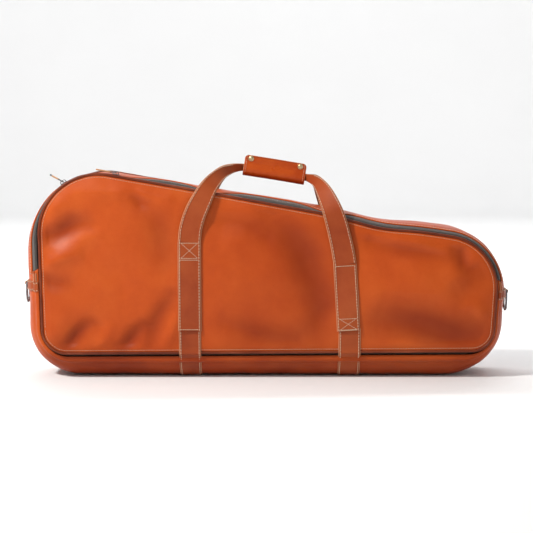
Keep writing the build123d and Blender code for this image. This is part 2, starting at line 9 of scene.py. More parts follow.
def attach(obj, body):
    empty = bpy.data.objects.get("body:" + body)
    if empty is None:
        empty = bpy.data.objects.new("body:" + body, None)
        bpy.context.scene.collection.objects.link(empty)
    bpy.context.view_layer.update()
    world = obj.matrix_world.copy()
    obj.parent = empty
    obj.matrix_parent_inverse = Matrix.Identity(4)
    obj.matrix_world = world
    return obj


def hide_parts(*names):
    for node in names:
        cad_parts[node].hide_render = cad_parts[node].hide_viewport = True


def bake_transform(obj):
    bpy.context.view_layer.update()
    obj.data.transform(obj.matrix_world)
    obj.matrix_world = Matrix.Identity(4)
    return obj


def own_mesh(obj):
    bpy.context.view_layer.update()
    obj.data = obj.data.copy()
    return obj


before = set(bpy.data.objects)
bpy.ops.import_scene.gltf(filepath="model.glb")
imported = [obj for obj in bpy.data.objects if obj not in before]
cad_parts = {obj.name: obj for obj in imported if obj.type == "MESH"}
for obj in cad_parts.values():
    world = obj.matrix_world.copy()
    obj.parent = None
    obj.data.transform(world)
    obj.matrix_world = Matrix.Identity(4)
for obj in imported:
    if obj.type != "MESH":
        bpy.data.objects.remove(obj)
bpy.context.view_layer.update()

# Metres, in the part's frame: +X along the case, +Y to the back, +Z up.
# ---- driving dimensions, the same as the frame's ----
RIM_Y = 0.078
FLAT_Y = 0.030
EDGE_Y = 0.0742
RIM = np.array([(-0.388, 0.045, 0.042), (0.392, 0.050, 0.038), (0.402, 0.234, 0.092), (-0.396, 0.377, 0.103)])
BELLY = np.array(
    [(-0.416, 0.0027, 0.090), (0.4096, 0.0027, 0.100), (0.4236, 0.246, 0.115), (-0.421, 0.380, 0.135)]
)
ZIP_Y = -0.067
TAPE_FRONT_Y = -EDGE_Y
STRIP_Y = -0.0599
MOUTH_LEFT, MOUTH_RIGHT = -0.250, 0.292
ZIP_END_LEFT, ZIP_END_RIGHT = 0.188, 0.172
STRAP_W = 0.040
GRIP_X, GRIP_Z = 0.014, 0.3625
GRIP_TILT = math.radians(9.2)
GRIP_LENGTH = 0.110
GRIP_HALF = 0.0185
SAMPLES = 4000  # points along a finely drawn outline


# ---- the case's shape ----
def depth_share(y):
    """How much of the belly shape the case has at depth y: 0 at the piping, 1 in the middle."""
    beyond = max(0.0, abs(y) - FLAT_Y) / (RIM_Y - FLAT_Y)
    return 1.0 - beyond * beyond


def corners(share, grow=0.0):
    """The outline's four corners and radii, moved outwards by grow."""
    base = RIM + (BELLY - RIM) * share
    moved = []
    for i in range(4):
        here, back, ahead = base[i, :2], base[i - 1, :2], base[(i + 1) % 4, :2]
        before, after = here - back, ahead - here
        n1 = np.array([before[1], -before[0]]) / np.linalg.norm(before)
        n2 = np.array([after[1], -after[0]]) / np.linalg.norm(after)
        point = here + (n1 + n2) * grow / (1 + n1 @ n2)
        moved.append((point[0], point[1], max(base[i, 2] + grow, 0.012)))
    return np.array(moved)


def slump(x, z):
    """The soft top's gentle S curve: full at the tall end, hanging a little at the low end."""
    top = 0.351 - 0.18 * (x + 0.25)
    weight = np.clip((z - 0.12) / np.maximum(top - 0.12, 0.05), 0, 1) ** 2
    low = np.exp(-(((x - 0.195) / 0.060) ** 2))
    high = np.exp(-(((x + 0.130) / 0.085) ** 2))
    return weight * (0.0006 * high - 0.0075 * low)


def raw_outline(share, grow):
    """The rounded outline as an even run of points per corner and side, from the left end of the bottom."""
    points = corners(share, grow)
    tangents, arcs = [], []
    for i in range(4):
        here, back, ahead = points[i, :2], points[i - 1, :2], points[(i + 1) % 4, :2]
        to_back = (back - here) / np.linalg.norm(back - here)
        to_ahead = (ahead - here) / np.linalg.norm(ahead - here)
        half = math.acos(np.clip(to_back @ to_ahead, -1, 1)) / 2
        radius = points[i, 2]
        reach = radius / math.tan(half)
        centre = here + (to_back + to_ahead) / np.linalg.norm(to_back + to_ahead) * radius / math.sin(half)
        start, end = here + to_back * reach, here + to_ahead * reach
        a0 = math.atan2(*(start - centre)[::-1])
        turn = math.pi - 2 * half
        angles = a0 + np.linspace(0, turn, 60)
        arcs.append(centre + radius * np.stack([np.cos(angles), np.sin(angles)], 1))
        tangents.append((start, end))
    run = []
    for i in range(4):
        run.append(arcs[i][:-1])
        start, end = tangents[i][1], tangents[(i + 1) % 4][0]
        steps = np.linspace(0, 1, 220)[:-1, None]
        run.append(start + (end - start) * steps)
    run = np.concatenate(run)
    return np.concatenate([run, run[:1]])


RIM_STEP = np.linalg.norm(np.diff(raw_outline(0.4, 0.0), axis=0), axis=1)
RIM_PARAM = np.concatenate([[0], np.cumsum(RIM_STEP)]) / RIM_STEP.sum()
_outlines = {}


def outline(share, grow=0.0):
    """The outline drawn finely, as x and z at SAMPLES even places; the same place means the same leather."""
    key = (round(share, 5), round(grow, 6))
    if key not in _outlines:
        run = raw_outline(share, grow)
        at = np.linspace(0, 1, SAMPLES)
        x, z = (np.interp(at, RIM_PARAM, run[:, k]) for k in (0, 1))
        _outlines[key] = np.stack([x, z + slump(x, z)], 1)
    return _outlines[key]


def place(kind, value, share=0.4):
    """Where along the outline the left or right end has this height, or the top has this x."""
    line = outline(share)
    if kind == "top":
        score = np.abs(line[:, 0] - value) + (line[:, 1] < 0.2) * 10
    else:
        sign = -1 if kind == "left" else 1
        score = np.abs(line[:, 1] - value) + (line[:, 0] * sign < 0.25) * 10
    return int(np.argmin(score)) / (SAMPLES - 1)


ZIP_FLAT = (-0.0742, -0.0716, -0.0624, -0.0600)  # the tapes keep level with the teeth between the inner two
CROSSINGS = (-0.092, 0.104)  # where the straps pass over the zip and press it flat
ZIP_PRESS = 0.0030  # and how far below its own line
ZIP_BULGE = 0.0055  # how far the soft top stands up round the zip, over the middle of its run


def zip_rise(x, y):
    """How far the leather beside the zip stands up at each x, at depth y."""
    across = np.interp(y, [-0.0742, -0.0640, -0.0400, 0.0300], [0.0, 1.0, 0.75, 0.0])
    run = np.clip((x + 0.245) / 0.070, 0, 1) * np.clip((0.290 - x) / 0.200, 0, 1)
    pressed = sum(np.exp(-(((x - strap_x) / 0.034) ** 2)) for strap_x in CROSSINGS)
    rise = ZIP_BULGE * run * run * (3 - 2 * run) * np.clip(1.0 - pressed, 0, 1)
    return across * (rise - ZIP_PRESS * pressed)


def shell_points(y, at, grow=0.0):
    """Points of the gusset's surface at depth y and at these places along the outline."""
    in_zip = ZIP_FLAT[0] <= y <= ZIP_FLAT[3]
    level_y = float(np.interp(y, ZIP_FLAT, (ZIP_FLAT[0], ZIP_Y, ZIP_Y, ZIP_FLAT[3]))) if in_zip else y
    line = outline(depth_share(level_y), grow)
    t = np.linspace(0, 1, SAMPLES)
    x, z = np.interp(at % 1.0, t, line[:, 0]), np.interp(at % 1.0, t, line[:, 1])
    z = z + np.where(z > 0.2, zip_rise(x, y), 0.0)
    return np.stack([x, np.full_like(x, y), z], 1)


def shell_frames(y, at, grow=0.0):
    """Points, directions along the outline and outward normals of the gusset at depth y."""
    step = 0.0004
    p = shell_points(y, at, grow)
    along = shell_points(y, at + step, grow) - shell_points(y, at - step, grow)
    along /= np.linalg.norm(along, axis=1)[:, None]
    lean = shell_points(y + 0.002, at, grow) - shell_points(y - 0.002, at, grow)
    normal = np.cross(lean, along)
    normal /= np.linalg.norm(normal, axis=1)[:, None]
    outward = p[:, [0, 2]] - np.array([0.0, 0.17])
    flip = np.sign((normal[:, [0, 2]] * outward).sum(1))
    return p, along, normal * flip[:, None]


def wrinkle(points, scale, seed):
    """Smooth random height at each point, from -1 to 1."""
    shift = Vector((seed * 7.3, seed * 3.1, seed * 1.7))
    return np.array([noise.noise(Vector(p) * scale + shift) for p in points])


# Creases of the big panels as seen from the front: two ends (x, z), width, and depth, all in
# metres; a negative depth is a raised fold. Both panels share the middle ones.
FRONT_CREASES = [
    ((-0.400, 0.200), (-0.325, 0.216), 0.013, -0.0050),
    ((-0.398, 0.182), (-0.345, 0.165), 0.016, 0.0055),
    ((-0.385, 0.252), (-0.310, 0.272), 0.019, 0.0085),
    ((-0.360, 0.226), (-0.290, 0.248), 0.014, -0.0030),
    ((-0.352, 0.322), (-0.378, 0.275), 0.016, -0.0030),
    ((-0.362, 0.050), (-0.300, 0.098), 0.014, 0.0085),
    ((-0.385, 0.075), (-0.330, 0.130), 0.018, -0.0030),
    ((-0.300, 0.048), (-0.268, 0.090), 0.010, -0.0030),
    ((-0.265, 0.045), (-0.210, 0.092), 0.014, 0.0085),
    ((-0.205, 0.060), (-0.165, 0.150), 0.015, 0.0060),
    ((-0.185, 0.050), (-0.150, 0.110), 0.010, -0.0030),
    ((-0.205, 0.300), (-0.165, 0.205), 0.026, 0.0045),
    ((-0.330, 0.330), (-0.170, 0.315), 0.012, -0.0025),
    ((-0.240, 0.318), (-0.205, 0.306), 0.012, 0.0040),
    ((0.010, 0.280), (0.112, 0.140), 0.036, 0.0090),
    ((0.112, 0.140), (0.060, 0.070), 0.030, 0.0050),
    ((-0.090, 0.280), (0.000, 0.255), 0.016, 0.0035),
    ((-0.070, 0.095), (0.050, 0.070), 0.018, 0.0045),
    ((0.180, 0.240), (0.320, 0.208), 0.012, 0.0045),
    ((0.150, 0.262), (0.310, 0.226), 0.010, -0.0040),
    ((0.325, 0.226), (0.350, 0.196), 0.014, 0.0070),
    ((0.200, 0.100), (0.380, 0.082), 0.030, 0.0095),
    ((0.185, 0.060), (0.270, 0.052), 0.012, -0.0025),
    ((0.385, 0.190), (0.330, 0.160), 0.020, 0.0040),
    ((0.388, 0.110), (0.350, 0.130), 0.012, -0.0030),
]
BACK_CREASES = [
    ((-0.398, 0.205), (-0.300, 0.238), 0.016, 0.0070),
    ((-0.390, 0.180), (-0.330, 0.190), 0.013, -0.0040),
    ((-0.370, 0.060), (-0.300, 0.110), 0.016, 0.0080),
    ((-0.270, 0.045), (-0.230, 0.095), 0.013, 0.0060),
    ((-0.060, 0.270), (0.020, 0.110), 0.036, 0.0085),
    ((0.070, 0.235), (0.010, 0.080), 0.028, 0.0055),
    ((0.215, 0.105), (0.380, 0.080), 0.028, 0.0080),
    ((0.385, 0.190), (0.290, 0.205), 0.016, 0.0050),
    ((0.170, 0.250), (0.310, 0.215), 0.012, 0.0035),
    ((-0.240, 0.300), (-0.180, 0.210), 0.024, 0.0050),
]


def crease_depth(x, z, creases):
    """How far the creases push the panel in at each point."""
    total = np.zeros_like(x)
    for (x1, z1), (x2, z2), width, depth in creases:
        run = np.array([x2 - x1, z2 - z1])
        length = np.linalg.norm(run)
        t = ((x - x1) * run[0] + (z - z1) * run[1]) / length**2
        off = ((x - x1) * -run[1] + (z - z1) * run[0]) / length
        off = off + 0.25 * width * np.sin(t * 5.0 + length * 90)
        ends = np.exp(-(np.clip(-t, 0, None) ** 2 + np.clip(t - 1, 0, None) ** 2)
            * (length / (0.8 * width)) ** 2)
        taper = 0.45 + 0.55 * np.sin(np.pi * np.clip(t, 0.02, 0.98))
        total += depth * np.exp(-((off / width) ** 2)) * ends * taper
    return total


RIM_LINE = outline(0.0, -0.0008)[::4]


def panel_depth(x, z, creases):
    """How far the panel's outer face stands from the middle of the case."""
    x, z = np.atleast_1d(x).astype(float), np.atleast_1d(z).astype(float)
    inset = np.empty_like(x)
    spot = np.empty(len(x), int)
    for a in range(0, len(x), 2000):
        d2 = (x[a : a + 2000, None] - RIM_LINE[None, :, 0]) ** 2 + (z[a : a + 2000, None]
            - RIM_LINE[None, :, 1]) ** 2
        spot[a : a + 2000] = d2.argmin(1)
        inset[a : a + 2000] = np.sqrt(d2.min(1))
    seam = spot / len(RIM_LINE) * 2.05
    fullness = 0.0048 * (1 - np.exp(-inset / 0.012)) + 0.0066 * np.sin(np.clip(inset / 0.14, 0, 1) * math.pi
        / 2)
    pucker = [noise.noise(Vector((s * 26.0, 4.2, len(creases)))) for s in seam]
    pucker = np.array(pucker) * np.exp(-inset / 0.020) * np.clip(inset / 0.004, 0, 1) * 0.0018
    points = np.stack([x, np.full_like(x, len(creases)), z], 1)
    broad = wrinkle(points, 7.0, 2) * 0.0042 + wrinkle(points, 19.0, 5) * 0.0017 + wrinkle(points, 48.0,
        8) * 0.0004
    hold = np.clip(inset / 0.016, 0, 1)
    return RIM_Y - 0.0012 + fullness + pucker + (broad - crease_depth(x, z, creases)) * hold


# ---- mesh helpers ----
def new_object(name, verts, faces, material, smooth=True):
    """A mesh object from arrays, with outward faces and one material."""
    mesh = bpy.data.meshes.new(name)
    mesh.from_pydata([tuple(v) for v in np.asarray(verts, float)], [],
        [tuple(int(i) for i in f) for f in faces])
    mesh.validate()
    mesh.polygons.foreach_set("use_smooth", [smooth] * len(mesh.polygons))
    mesh.materials.append(material)
    obj = bpy.data.objects.new(name, mesh)
    bpy.context.scene.collection.objects.link(obj)
    return obj


def grid_faces(rows, cols, wrap_rows=False, wrap_cols=False, base=0):
    """Quads of a grid of points numbered row by row."""
    faces = []
    for r in range(rows if wrap_rows else rows - 1):
        for c in range(cols if wrap_cols else cols - 1):
            r2, c2 = (r + 1) % rows, (c + 1) % cols
            faces.append((base + r * cols + c, base + r2 * cols + c, base + r2 * cols + c2,
                    base + r * cols + c2))
    return faces


def shell(name, grid, material, thickness, wrap_rows=False, wrap_cols=False):
    """A sheet of leather or cloth from a grid of outer points, thickened inwards."""
    rows, cols = grid.shape[:2]
    faces = grid_faces(rows, cols, wrap_rows, wrap_cols)
    obj = new_object(name, grid.reshape(-1, 3), faces, material)
    thicken(obj, thickness)
    return obj


def thicken(obj, thickness):
    """Gives a sheet its thickness, on the side its normals point away from."""
    solid = obj.modifiers.new("thickness", "SOLIDIFY")
    solid.thickness = thickness
    solid.offset = -1
    solid.use_rim = True
    solid.use_quality_normals = True
    if obj.data.materials[0] == BODY:
        obj.data.materials.append(SUEDE)
        solid.material_offset = 1


def join(name, pieces, material):
    """One object from several (verts, faces) pairs."""
    verts, faces, base = [], [], 0
    for piece_verts, piece_faces in pieces:
        verts.append(np.asarray(piece_verts, float))
        faces += [tuple(i + base for i in f) for f in piece_faces]
        base += len(piece_verts)
    return new_object(name, np.concatenate(verts), faces, material)


def repeat(name, template, faces, origins, xs, ys, zs, material):
    """Copies of a template at frames given by origins and three directions each, as one object."""
    template = np.asarray(template, float)
    count, size = len(origins), len(template)
    placed = (
        origins[:, None, :]
        + template[None, :, 0:1] * xs[:, None, :]
        + template[None, :, 1:2] * ys[:, None, :]
        + template[None, :, 2:3] * zs[:, None, :]
    )
    all_faces = [tuple(i + k * size for i in f) for k in range(count) for f in faces]
    return new_object(name, placed.reshape(-1, 3), all_faces, material)


def unit(v):
    v = np.asarray(v, float)
    return v / np.linalg.norm(v, axis=-1, keepdims=True)


def smooth_run(points, count):
    """An even Catmull-Rom run through rows of values."""
    points = np.asarray(points, float)
    padded = np.concatenate([2 * points[:1] - points[1:2], points, 2 * points[-1:] - points[-2:-1]])
    fine = []
    for i in range(1, len(padded) - 2):
        p0, p1, p2, p3 = padded[i - 1 : i + 3]
        for t in np.linspace(0, 1, 24, endpoint=False):
            a = 2 * p1 + (p2 - p0) * t + (2 * p0 - 5 * p1 + 4 * p2 - p3) * t**2 + (3 * p1 - p0 - 3 * p2
                + p3) * t**3
            fine.append(a / 2)
    fine.append(points[-1])
    fine = np.array(fine)
    length = np.concatenate([[0], np.cumsum(np.linalg.norm(np.diff(fine[:, :3], axis=0), axis=1))])
    at = np.linspace(0, length[-1], count)
    return np.stack([np.interp(at, length, fine[:, k]) for k in range(fine.shape[1])], 1)


def strip_section(width, thick, edge=0.0009, bow=0.0):
    """A strap's section across its width: flat faces, rounded painted edges."""
    half, t = width / 2, thick / 2
    points = []
    for cx, ct, a0 in ((half - edge, t - edge, 0), (-half + edge, t - edge, 90),
        (-half + edge, -t + edge, 180), (half - edge, -t + edge, 270)):
        for a in (0, 30, 60, 90):
            angle = math.radians(a0 + a)
            points.append((cx + edge * math.cos(angle), ct + edge * math.sin(angle)))
        if a0 in (0, 180):
            side = 1 if a0 == 0 else -1
            for w in (0.6, 0.2, -0.2, -0.6):
                points.append((side * w * half, side * t + bow * (1 - w * w)))
    return np.array(points)


def sweep(sections, path, wide, up):
    """(verts, faces) of a section carried along a path; wide and up are its directions at each point."""
    rows = []
    for section, p, w, n in zip(sections, path, wide, up):
        rows.append(p + section[:, 0:1] * w + section[:, 1:2] * n)
    grid = np.array(rows)
    count, size = grid.shape[:2]
    faces = grid_faces(count, size, wrap_cols=True)
    faces.append(tuple(range(size)))
    faces.append(tuple((count - 1) * size + i for i in reversed(range(size))))
    return grid.reshape(-1, 3), faces


def tube(path, radius, sides=10, closed=False):
    """(verts, faces) of a round tube along a path."""
    path = np.asarray(path, float)
    tangent = unit(np.roll(path, -1, 0) - np.roll(path, 1, 0)) if closed else unit(np.gradient(path, axis=0))
    reference = np.array([0.0, 1.0, 0.0])
    if abs(tangent @ reference).max() > 0.9:
        reference = np.array([1.0, 0.0, 0.0])
    side = unit(np.cross(tangent, reference))
    other = np.cross(tangent, side)
    angles = np.linspace(0, 2 * math.pi, sides, endpoint=False)
    radius = np.broadcast_to(radius, len(path))[:, None, None]
    grid = path[:, None] + radius * (np.cos(angles)[:, None] * side[:, None] + np.sin(angles)[:, None]
        * other[:, None])
    faces = grid_faces(len(path), sides, wrap_rows=closed, wrap_cols=True)
    if not closed:
        faces.append(tuple(range(sides)))
        faces.append(tuple((len(path) - 1) * sides + i for i in reversed(range(sides))))
    return grid.reshape(-1, 3), faces


def stitch_template(length, radius):
    """One sewn stitch, a short thread that dips into the leather at both ends, along X with Z up."""
    path = [(-0.5, -0.8), (-0.44, 0.1), (-0.25, 0.62), (0, 0.75), (0.25, 0.62), (0.44, 0.1), (0.5, -0.8)]
    points = np.array([(x * length, 0, z * radius) for x, z in path])
    return tube(points, radius * np.array([0.45, 0.8, 1, 1, 1, 0.8, 0.45]), sides=6)


def stitches(name, path, normals, material, pitch=0.0050, share=0.74, radius=0.00042):
    """A row of stitches along a path that lies on leather with these normals."""
    step = np.linalg.norm(np.diff(path, axis=0), axis=1)
    length = np.concatenate([[0], np.cumsum(step)])
    at = np.arange(pitch / 2, length[-1], pitch)
    origins = np.stack([np.interp(at, length, path[:, k]) for k in range(3)], 1)
    ups = unit(np.stack([np.interp(at, length, normals[:, k]) for k in range(3)], 1))
    ahead = np.stack([np.interp(at + 0.0008, length, path[:, k]) for k in range(3)], 1)
    behind = np.stack([np.interp(at - 0.0008, length, path[:, k]) for k in range(3)], 1)
    xs = unit(ahead - behind)
    ys = unit(np.cross(ups, xs))
    verts, faces = stitch_template(pitch * share, radius)
    return repeat(name, verts, faces, origins, xs, ys, np.cross(xs, ys), material)


# ---- materials ----
class Nodes:
    """A small helper that builds a material's node tree."""

    def __init__(self, name):
        self.material = bpy.data.materials.new(name)
        self.material.use_nodes = True
        self.tree = self.material.node_tree
        self.shader = self.tree.nodes["Principled BSDF"]
        self.coords = self.tree.nodes.new("ShaderNodeTexCoord").outputs["Object"]

    def link(self, a, b):
        self.tree.links.new(a, b)

    def scaled(self, stretch):
        """Object coordinates stretched along each axis."""
        mapping = self.tree.nodes.new("ShaderNodeMapping")
        mapping.inputs["Scale"].default_value = stretch
        self.link(self.coords, mapping.inputs["Vector"])
        return mapping.outputs["Vector"]

    def noise(self, scale, detail=3.0, rough=0.5, coords=None):
        node = self.tree.nodes.new("ShaderNodeTexNoise")
        node.inputs["Scale"].default_value = scale
        node.inputs["Detail"].default_value = detail
        node.inputs["Roughness"].default_value = rough
        self.link(coords or self.coords, node.inputs["Vector"])
        return node.outputs["Fac"]

    def voronoi(self, scale, feature="DISTANCE_TO_EDGE", coords=None):
        node = self.tree.nodes.new("ShaderNodeTexVoronoi")
        node.feature = feature
        node.inputs["Scale"].default_value = scale
        self.link(coords or self.coords, node.inputs["Vector"])
        return node.outputs["Distance"]

    def wave(self, scale, direction="X", profile="SIN", coords=None):
        node = self.tree.nodes.new("ShaderNodeTexWave")
        node.bands_direction = direction
        node.wave_profile = profile
        node.inputs["Scale"].default_value = scale
        self.link(coords or self.coords, node.inputs["Vector"])
        return node.outputs["Fac"]

    def ramp(self, value, *stops):
        """A colour or grey ramp; each stop is a position and a colour or a grey."""
        node = self.tree.nodes.new("ShaderNodeValToRGB")
        ramp = node.color_ramp
        while len(ramp.elements) < len(stops):
            ramp.elements.new(0.5)
        for element, (position, colour) in zip(ramp.elements, stops):
            element.position = position
            element.color = (*colour, 1) if isinstance(colour, tuple) else (colour, colour, colour, 1)
        self.link(value, node.inputs["Fac"])
        return node.outputs["Color"]

    def math(self, operation, a, b):
        node = self.tree.nodes.new("ShaderNodeMath")
        node.operation = operation
        for socket, value in zip(node.inputs, (a, b)):
            if isinstance(value, (int, float)):
                socket.default_value = value
            else:
                self.link(value, socket)
        return node.outputs[0]

    def mix(self, a, b, factor, blend="MIX"):
        node = self.tree.nodes.new("ShaderNodeMix")
        node.data_type = "RGBA"
        node.blend_type = blend
        sockets = {"A": a, "B": b, "Factor": factor}
        for socket in node.inputs:
            value = sockets.get(socket.name) if socket.type == "RGBA" or socket.name == "Factor" else None
            if value is None or (socket.name == "Factor" and socket.type != "VALUE"):
                continue
            if isinstance(value, tuple):
                socket.default_value = (*value, 1)
            elif isinstance(value, (int, float)):
                socket.default_value = value
            else:
                self.link(value, socket)
        return [o for o in node.outputs if o.type == "RGBA"][0]

    def attribute(self, name):
        node = self.tree.nodes.new("ShaderNodeAttribute")
        node.attribute_name = name
        return node.outputs["Fac"]

    def bump(self, height, strength, distance, under=None):
        node = self.tree.nodes.new("ShaderNodeBump")
        node.inputs["Strength"].default_value = strength
        node.inputs["Distance"].default_value = distance
        self.link(height, node.inputs["Height"])
        if under is not None:
            self.link(under, node.inputs["Normal"])
        return node.outputs["Normal"]

    def finish(self, colour, roughness, normal=None, metallic=0.0, **constants):
        self.link(colour, self.shader.inputs["Base Color"])
        if isinstance(roughness, (int, float)):
            self.shader.inputs["Roughness"].default_value = roughness
        else:
            self.link(roughness, self.shader.inputs["Roughness"])
        if normal is not None:
            self.link(normal, self.shader.inputs["Normal"])
        self.shader.inputs["Metallic"].default_value = metallic
        for name, value in constants.items():
            self.shader.inputs[name.replace("_", " ")].default_value = value
        return self.material


def leather(name, deep, mid, light, rough=(0.34, 0.50), grain=520.0, coat=0.25, edge=(0.40, 0.22, 0.12)):
    """Finished leather: mottled dye, pores and fine grain, with painted shade: a much darker red mixed in
    where the fold attribute is high.
    """
    n = Nodes(name)
    cloud = n.noise(5.5, 4.0, 0.55)
    patch = n.noise(26.0, 5.0, 0.62)
    tone = n.math("ADD", n.math("MULTIPLY", cloud, 0.65), n.math("MULTIPLY", patch, 0.35))
    colour = n.ramp(tone, (0.34, deep), (0.50, mid), (0.66, light))
    pores = n.voronoi(grain)
    fine = n.noise(grain * 3.1, 3.0, 0.6)
    speck = n.ramp(pores, (0.0, 0.78), (0.10, 1.0))
    colour = n.mix(colour, speck, 0.35, "MULTIPLY")
    # painted shade: the fold attribute darkens the colour where shade falls (crease valleys, undersides,
    # inner faces)
    fold = n.attribute("fold")
    colour = n.mix(colour, (deep[0] * 0.34, deep[1] * 0.18, deep[2] * 0.3), n.math("MULTIPLY", fold, 0.90))
    colour = n.mix(colour, edge, n.attribute("edge"))
    low, high = rough
    gloss = n.math("ADD", n.math("MULTIPLY", n.noise(40.0, 4.0), high - low), low)
    creasing = n.noise(85.0, 6.0, 0.7, n.scaled((1.0, 1.0, 1.7)))
    bumps = n.bump(creasing, 0.10, 0.004)
    bumps = n.bump(pores, 0.22, 0.0004, bumps)
    bumps = n.bump(fine, 0.10, 0.0003, bumps)
    return n.finish(colour, gloss, bumps, Coat_Weight=coat * 0.2, Coat_Roughness=0.32,
        Specular_IOR_Level=0.15)


def thread(name, colour):
    """Twisted waxed thread."""
    n = Nodes(name)
    twist = n.wave(900.0, "DIAGONAL")
    tint = n.ramp(n.noise(300.0), (0.3, tuple(c * 0.78 for c in colour)), (0.7, colour))
    return n.finish(tint, 0.62, n.bump(twist, 0.5, 0.0002))


def metal(name, colour, rough, wear):
    """Plated metal with fine scratches and worn, brighter patches."""
    n = Nodes(name)
    scratch = n.noise(420.0, 5.0, 0.7, n.scaled((1.0, 6.0, 1.0)))
    patches = n.noise(120.0, 4.0, 0.6)
    tint = n.ramp(patches, (0.40, colour), (0.72, wear))
    gloss = n.math("ADD", n.math("MULTIPLY", scratch, 0.25), rough)
    return n.finish(tint, gloss, n.bump(scratch, 0.12, 0.0002), metallic=1.0)


def weave(name, warp, weft, pitch, rough=0.8, strength=0.5):
    """Plain-woven cloth or tape: two crossing sets of threads."""
    n = Nodes(name)
    per_metre = 1.0 / pitch / 3.2
    across, along = n.wave(per_metre, "X"), n.wave(per_metre, "Z")
    deep = n.wave(per_metre, "Y")
    crossing = n.math("MULTIPLY", n.math("ADD", across, deep), n.math("ADD", along, 0.4))
    tint = n.ramp(crossing, (0.25, warp), (0.9, weft))
    tint = n.mix(tint, n.ramp(n.noise(60.0), (0.3, 0.75), (0.7, 1.0)), 0.6, "MULTIPLY")
    return n.finish(tint, rough, n.bump(crossing, strength, 0.0004), Sheen_Weight=0.2)


def moulded(name, colour, rough):
    """Moulded plastic with a faint mottled skin."""
    n = Nodes(name)
    tint = n.ramp(n.noise(180.0, 4.0), (0.35, tuple(c * 0.7 for c in colour)), (0.7, colour))
    return n.finish(tint, rough, n.bump(n.noise(900.0), 0.2, 0.0002))


def foam_material():
    """Closed-cell foam, dark, with small open cells."""
    n = Nodes("cradle_foam")
    cells = n.voronoi(900.0, "F1")
    tint = n.ramp(cells, (0.0, (0.012, 0.012, 0.014)), (0.6, (0.05, 0.05, 0.055)))
    return n.finish(tint, 0.92, n.bump(cells, 0.7, 0.0005))


EDGE_TAN = (0.52, 0.30, 0.17)
BODY = leather("cognac_leather", (0.420, 0.056, 0.0060), (0.480, 0.072, 0.0080), (0.530, 0.092, 0.0120),
    (0.36, 0.46))
STRAP = leather("strap_leather", (0.240, 0.036, 0.0090), (0.310, 0.055, 0.0135), (0.370, 0.078, 0.0200),
    (0.36, 0.48), 600.0, 0.15, EDGE_TAN)
GRIP = leather("grip_leather", (0.300, 0.030, 0.004), (0.420, 0.058, 0.006), (0.500, 0.090, 0.010),
    (0.24, 0.34), 560.0, 0.5, EDGE_TAN)
PIPING = leather("piping_leather", (0.085, 0.014, 0.005), (0.150, 0.026, 0.008), (0.230, 0.050, 0.018),
    (0.28, 0.40), 700.0, 0.35)
PULL = leather("pull_leather", (0.36, 0.150, 0.060), (0.50, 0.240, 0.110), (0.60, 0.320, 0.160), (0.45, 0.6),
    800.0, 0.1)
SUEDE = leather("raw_leather_back", (0.10, 0.028, 0.012), (0.15, 0.045, 0.020), (0.20, 0.070, 0.034),
    (0.75, 0.9), 900.0, 0.0)
THREAD = thread("cream_thread", (0.66, 0.50, 0.34))
PALE_THREAD = thread("pale_thread", (0.80, 0.64, 0.50))
TAPE = weave("zip_tape_weave", (0.020, 0.015, 0.013), (0.060, 0.046, 0.040), 0.0009)
TEETH = moulded("zip_teeth_moulding", (0.20, 0.165, 0.145), 0.42)
GUNMETAL = metal("gunmetal", (0.16, 0.16, 0.17), 0.22, (0.40, 0.40, 0.41))
BLACK_NICKEL = metal("black_nickel", (0.06, 0.06, 0.065), 0.16, (0.30, 0.29, 0.28))
BRASS = metal("antique_brass", (0.50, 0.36, 0.18), 0.20, (0.78, 0.64, 0.42))
CLOTH = weave("lining_weave", (0.045, 0.026, 0.018), (0.090, 0.056, 0.040), 0.0012)
WEBBING = weave("hold_strap_weave", (0.015, 0.015, 0.016), (0.050, 0.050, 0.052), 0.0016)
FOAM = foam_material()
BOARD = moulded("base_board_fibre", (0.06, 0.05, 0.045), 0.7)


def set_painted_shade(obj, values):
    """Stores the painted shade at each point, which the leather mixes in as a darker colour."""
    attribute = obj.data.attributes.new("fold", "FLOAT", "POINT")
    attribute.data.foreach_set("value", np.clip(values, 0, 1).astype(np.float32))


def done(obj, body, slot, *nodes):
    """Rides a finished piece on its body and hides the CAD nodes that it stands for; slot is not used."""
    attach(obj, body)
    if nodes:
        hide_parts(*nodes)
    return obj


# ---- big panels ----
PANEL_COLS, PANEL_ROWS = 250, 96
ARC_STEPS, SIDE_STEPS = 59, 219  # how raw_outline divides each corner and side


def corner_place(i):
    """The place on the outline at the middle of corner i."""
    middle = i * (ARC_STEPS + SIDE_STEPS) + ARC_STEPS / 2
    return float(np.interp(middle, np.arange(len(RIM_PARAM)), RIM_PARAM))


def rim_points(start, end, count, share, grow):
    """Points of the outline between two places, as x and z."""
    line = outline(share, grow)
    at = np.linspace(start, end, count) % 1.0
    t = np.linspace(0, 1, SAMPLES)
    return np.stack([np.interp(at, t, line[:, 0]), np.interp(at, t, line[:, 1])], 1)


def patch(share, grow, cols, rows):
    """A grid of x and z that fills the outline, its corners at the middles of the outline's corners."""
    marks = [corner_place(i) for i in range(4)]
    low = rim_points(marks[0], marks[1], cols, share, grow)
    right = rim_points(marks[1], marks[2], rows, share, grow)
    high = rim_points(marks[2], marks[3], cols, share, grow)[::-1]
    left = rim_points(marks[3], marks[0] + 1, rows, share, grow)[::-1]
    u, v = np.linspace(0, 1, cols)[None, :, None], np.linspace(0, 1, rows)[:, None, None]
    ruled = (1 - v) * low[None] + v * high[None] + (1 - u) * left[:, None] + u * right[:, None]
    square = (1 - u) * ((1 - v) * low[0] + v * high[0]) + u * ((1 - v) * low[-1] + v * high[-1])
    return ruled - square


